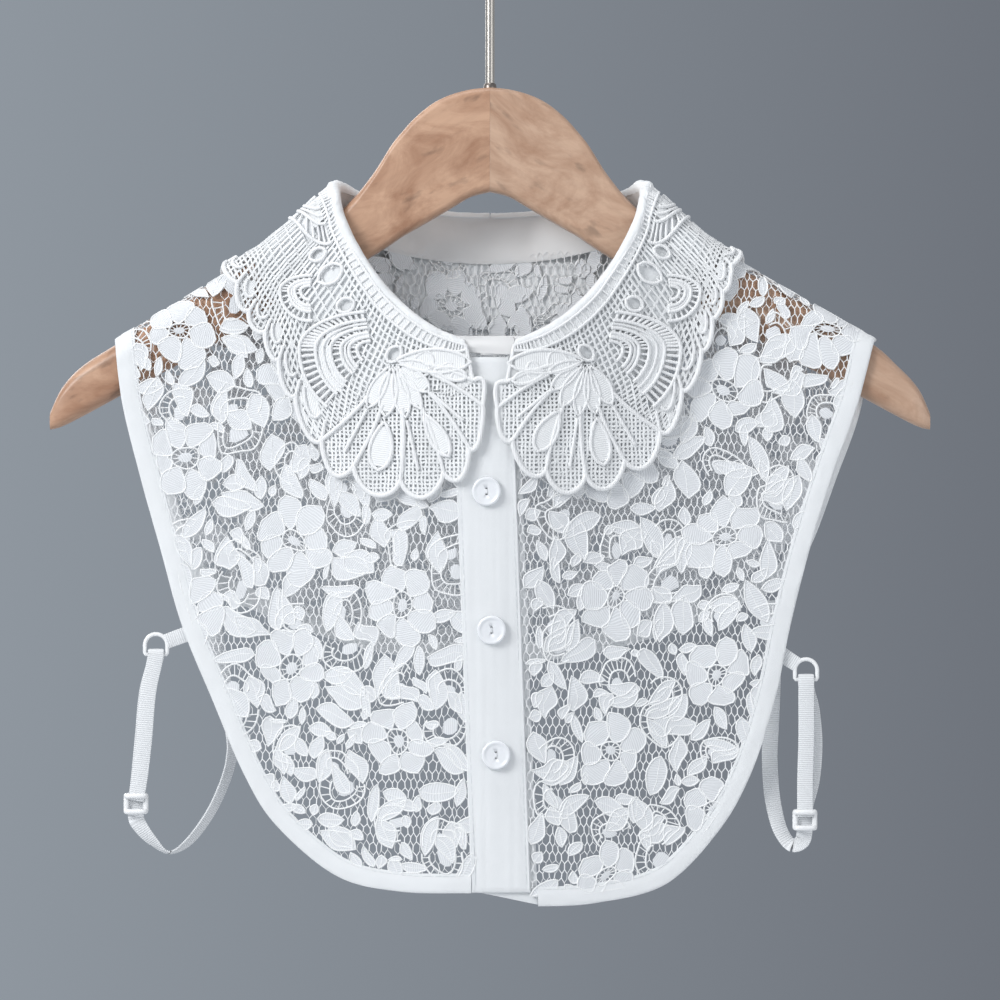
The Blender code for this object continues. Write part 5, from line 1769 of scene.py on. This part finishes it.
def tape_corner(side, sides, width, thick):
    """Section of a flat band with rounded edges."""
    angle = math.tau * side / sides
    cos, sin = math.cos(angle), math.sin(angle)
    return (width / 2 * math.copysign(abs(cos) ** 0.35, cos),
            thick / 2 * math.copysign(abs(sin) ** 0.6, sin))


def strap_band(hand):
    rows = STRAP_PATH[hand]
    stations, sides = 230, 12

    def section(side, station):
        place = station / stations * (len(rows) - 1)
        step = 0.03
        here = curve_through(rows, place)
        ahead = Vector(curve_through(rows, min(place + step, len(rows) - 1))[:3])
        behind = Vector(curve_through(rows, max(place - step, 0))[:3])
        along = (ahead - behind).normalized()
        wide = Vector((1, 0, 0)) if abs(along.y) > 0.7 else along.cross(Vector((0, 1, 0)))
        wide = (wide - along * wide.dot(along)).normalized()
        if wide.x < 0:
            wide = -wide
        wide = Matrix.Rotation(math.radians(here[3]), 3, along) @ wide
        thick = along.cross(wide).normalized()
        across, through = tape_corner(side, sides, STRAP_WIDTH, STRAP_THICK)
        return Vector(here[:3]) * MM + wide * across + thick * through

    side = SIDE_NAMES[hand]
    piece = add_piece(f"elastic_band_{side}", loft(sides, stations, section), "elastic", ELASTIC)
    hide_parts(f"strap_band_{side}")
    return piece


def strap_tab(hand):
    start = Vector((TAB_START[hand][0], STRAP_Y, TAB_START[hand][1]))
    centre = Vector((RING_CENTRE[hand][0], STRAP_Y, RING_CENTRE[hand][1]))
    reach = (start - centre).normalized()
    end = centre + reach * RING_HALF
    wide = reach.cross(Vector((0, 1, 0))).normalized()
    stations, sides = 16, 12

    def section(side, station):
        share = station / stations
        swell = 1 + 0.35 * math.exp(-((1 - share) / 0.12) ** 2)
        across, through = tape_corner(side, sides, STRAP_WIDTH * (1 - 0.06 * share), TAB_THICK * swell)
        return start.lerp(end, share) + wide * across + Vector((0, through, 0))

    side = SIDE_NAMES[hand]
    piece = add_piece(f"elastic_tab_{side}", loft(sides, stations, section), "elastic", ELASTIC)
    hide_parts(f"strap_tab_{side}")
    return piece


def strap_ring(hand):
    """Moulded ring with a straight bar below, where the band turns."""
    centre_x, centre_z = RING_CENTRE[hand]
    spots = [(RING_HALF * share, -RING_BAR_DROP) for share in (-0.9, -0.45, 0, 0.45, 0.9)]
    spots += [(RING_HALF * 1.0, -RING_BAR_DROP * 0.8)]
    spots += arc(RING_HALF, 0, 180, 20)
    spots += [(-RING_HALF * 1.0, -RING_BAR_DROP * 0.8)]
    points = [Vector((centre_x + x, STRAP_Y, centre_z + z)) for x, z in spots]
    bm = bmesh.new()
    twisted_cords(bm, [(points, RING_WIRE, True)], 3, 0)
    side = SIDE_NAMES[hand]
    piece = add_piece(f"moulded_ring_{side}", bm, "ring_slider", PLASTIC)
    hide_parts(f"strap_ring_{side}")
    return piece


def strap_slider(hand):
    """Two rounded loops round both runs of the band, joined at their sides."""
    x, z = SLIDER_CENTRE[hand]
    wire_radius = 1.15 * MM
    half_width, half_depth = SLIDER_WIDTH / 2 - wire_radius, SLIDER_DEPTH / 2 - wire_radius
    rise = SLIDER_HEIGHT / 2 - wire_radius
    cords = []
    for level in (-rise, rise):
        loop = []
        for number in range(28):
            angle = math.tau * number / 28
            cos, sin = math.cos(angle), math.sin(angle)
            loop.append(Vector((x + half_width * math.copysign(abs(cos) ** 0.55, cos),
                                STRAP_Y + half_depth * math.copysign(abs(sin) ** 0.55, sin), z + level)))
        cords.append((loop, wire_radius, True))
    for side in (-1, 1):
        post = [Vector((x + side * half_width, STRAP_Y, z + rise * share)) for share in (-1, -0.5, 0, 0.5, 1)]
        cords.append((post, wire_radius * 1.05, False))
    bm = bmesh.new()
    twisted_cords(bm, cords, 3, 0)
    side = SIDE_NAMES[hand]
    piece = add_piece(f"moulded_slider_{side}", bm, "ring_slider", PLASTIC)
    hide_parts(f"strap_slider_{side}")
    return piece


HALF_GAP = 0.03 * MM


def hanger_half(hand):
    stations, sides = 96, 40
    rows = []
    for row_x, row_top, row_bottom, row_thick in HANGER:
        x = row_x * MM
        top = ridge_z(hand * x) - HANGER_UNDER if row_top is None else row_top * MM
        rows.append((x, top, row_bottom * MM, row_thick * MM))

    def section(side, station):
        share = station / stations
        x, top, bottom, thick = curve_through(rows, share * (len(rows) - 1))
        x = max(x, rows[0][0]) if station else HALF_GAP
        half_depth = thick / 2
        flat = smooth_step((x - 45 * MM) / (30 * MM))
        corner_round = 3.4 * MM + (HANGER_ROUND - 3.4 * MM) * flat
        radius = min(corner_round, half_depth - 0.1 * MM, (top - bottom) / 2 - 0.1 * MM)
        quarter = sides // 4
        corner, step = divmod(side, quarter)
        angle = math.pi / 2 * (corner + step / (quarter - 1))
        centre_y = (half_depth - radius) * (1 if corner in (0, 3) else -1)
        centre_z = (top - radius) if corner in (0, 1) else (bottom + radius)
        return Vector((hand * x, centre_y + radius * math.cos(angle), centre_z + radius * math.sin(angle)))

    side = SIDE_NAMES[hand]
    piece = add_piece(f"wooden_arm_{side}", loft(sides, stations, section), "wood", WOOD[hand], sharp=35)
    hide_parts(f"hanger_{side}")
    return piece


def hook():
    radius = CROOK_INNER + WIRE_RADIUS
    points = []
    crook_steps = 56
    for index in range(crook_steps + 1):
        turn = math.radians(CROOK_TIP_TURN + (CROOK_END_TURN - CROOK_TIP_TURN) * index / crook_steps)
        points.append(Vector((radius * math.cos(turn), 0, -CROOK_INNER + radius * math.sin(turn))))
    end = points[-1]
    leaving = (points[-1] - points[-2]).normalized()
    shank_top = Vector((0, 0, SHANK_TOP_Z))
    pull = (shank_top - end).length * 0.5
    neck = (end, end + leaving * pull, shank_top + Vector((0, 0, pull)), shank_top)
    for index in range(1, 21):
        share = index / 20
        points.append(neck[0] * (1 - share) ** 3 + neck[1] * 3 * share * (1 - share) ** 2
                      + neck[2] * 3 * share ** 2 * (1 - share) + neck[3] * share ** 3)
    points.append(Vector((0, 0, SHANK_FOOT_Z)))
    bm = bmesh.new()
    twisted_cords(bm, [(points, WIRE_RADIUS, False)], 8, 0)
    piece = add_piece("steel_hook", bm, "steel", STEEL)
    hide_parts("hook")
    profile = ((WIRE_RADIUS, -97.4), (2.7 * MM, -97.4), (2.9 * MM, -96.4), (2.7 * MM, -94.6), (WIRE_RADIUS, -93.9))
    bm = bmesh.new()
    verts = [bm.verts.new((r, 0, z * MM)) for r, z in profile]
    edges = [bm.edges.new(pair) for pair in zip(verts, verts[1:] + verts[:1])]
    bmesh.ops.spin(bm, geom=verts + edges, axis=(0, 0, 1), cent=(0, 0, 0),
                   angle=math.tau, steps=32, use_merge=True)
    add_piece("hook_collar", bm, "steel", FERRULE)
    return piece


# Dressing the whole garment

body = dress_body()
lace_collars = {hand: dress_collar(hand) for hand in (LEFT, RIGHT)}
under_collars = {hand: under_collar(hand) for hand in (LEFT, RIGHT)}
stand = collar_stand()
placket = strip("button_strip", "placket", PLACKET_WIDTH / 2, PLACKET_WIDTH / 2,
                PLACKET_HEM_Z, 0.0, 0.0, PLACKET_THICK, 1.0)
under_placket = strip("under_strip", "under_placket", PLACKET_WIDTH / 2 - 2.5 * MM,
                      PLACKET_WIDTH / 2 + UNDER_PLACKET_SHOWS, UNDER_PLACKET_HEM_Z, 5.5 * MM,
                      UNDER_PLACKET_LIFT, UNDER_PLACKET_THICK, 5.0)
tapes = {hand: front_binding(hand) for hand in (LEFT, RIGHT)}
back_tape = back_binding()
stitches = stitch_rows()
fastenings = []
for number, z in enumerate(BUTTON_Z, start=1):
    fastenings += button(number, z)
for hand in (LEFT, RIGHT):
    strap_band(hand)
    strap_tab(hand)
    strap_ring(hand)
    strap_slider(hand)
    hanger_half(hand)
hook()


# Flat sizes and areas of the cloth pieces, worked out but not kept

for hand in (LEFT, RIGHT):
    size, area = outline_cut(front_border(hand))
    size, area = band_cut(lambda a, b, lift: collars[hand].at(a * SCALLOPS, b, lift), 120, 20)
    size, area = band_cut(lambda a, b, lift: collars[hand].at(a * SCALLOPS, b * UNDER_REACH, lift), 120, 20)
for (piece, (size, area)), carried in ((stand, []), (placket, fastenings), (under_placket, [])):
    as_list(carried)
size, area = outline_cut(back_border())

# Floor, light and camera

def studio():
    bm = bmesh.new()
    bmesh.ops.create_circle(bm, cap_ends=True, segments=96, radius=2.6)
    bmesh.ops.translate(bm, vec=(0, 0, -0.9), verts=bm.verts)
    data = bpy.data.meshes.new("studio_floor")
    bm.to_mesh(data)
    bm.free()
    floor = bpy.data.objects.new("studio_floor", data)
    bpy.context.collection.objects.link(floor)
    material, tree, shader = finish("pale_floor", (0.62, 0.64, 0.66), 0.9)
    data.materials.append(material)

    world = bpy.data.worlds.new("studio")
    bpy.context.scene.world = world
    world.use_nodes = True
    tree = world.node_tree
    background = tree.nodes["Background"]
    # Camera rays see painted light on the backdrop: lighter on the left and darker on the right, as painted light
    # falloff; other rays get an even grey ambient.
    direction = wire(tree, "ShaderNodeTexCoord").outputs["Generated"]
    parts = wire(tree, "ShaderNodeSeparateXYZ", {0: direction})
    share = wire(tree, "ShaderNodeMapRange",
                 {"Value": parts.outputs["X"], "From Min": -0.1, "From Max": 0.1})
    ramp = wire(tree, "ShaderNodeValToRGB", {"Fac": share.outputs[0]})
    ramp.color_ramp.elements[0].color = (0.275, 0.308, 0.347, 1)
    ramp.color_ramp.elements[1].color = (0.16, 0.176, 0.203, 1)
    seen = wire(tree, "ShaderNodeLightPath").outputs["Is Camera Ray"]
    mix = wire(tree, "ShaderNodeMix", data_type="RGBA")
    tree.links.new(seen, mix.inputs[0])
    mix.inputs[6].default_value = (0.42, 0.44, 0.47, 1)
    tree.links.new(ramp.outputs["Color"], mix.inputs[7])
    tree.links.new(mix.outputs[2], background.inputs["Color"])

    for name, spot, target, size, power in (
            ("key", (-1.5, -1.5, 0.75), (0, 0, -0.24), 1.0, 38),
            ("fill", (1.6, -1.7, -0.1), (0, 0, -0.26), 1.4, 9),
            ("top", (-0.3, -0.2, 1.5), (0, 0, -0.2), 1.0, 9),
            ("rim", (-0.9, 1.5, 0.5), (0, 0, -0.25), 1.0, 7)):
        lamp = bpy.data.lights.new(name, "AREA")
        lamp.energy = power
        lamp.size = size
        obj = bpy.data.objects.new(name, lamp)
        bpy.context.collection.objects.link(obj)
        obj.location = spot
        obj.rotation_euler = (Vector(target) - Vector(spot)).to_track_quat("-Z", "Y").to_euler()

    camera = bpy.data.cameras.new("camera")
    camera.lens = 180
    camera.sensor_width = 36
    camera.clip_start, camera.clip_end = 0.05, 20
    eye = bpy.data.objects.new("camera", camera)
    bpy.context.collection.objects.link(eye)
    frame_width = 0.431
    eye.location = (4.3 * MM, -frame_width * 180 / 36, -273.6 * MM)
    eye.rotation_euler = (math.radians(90), 0, 0)
    bpy.context.scene.camera = eye
    bpy.context.scene.view_settings.view_transform = "Standard"


studio()
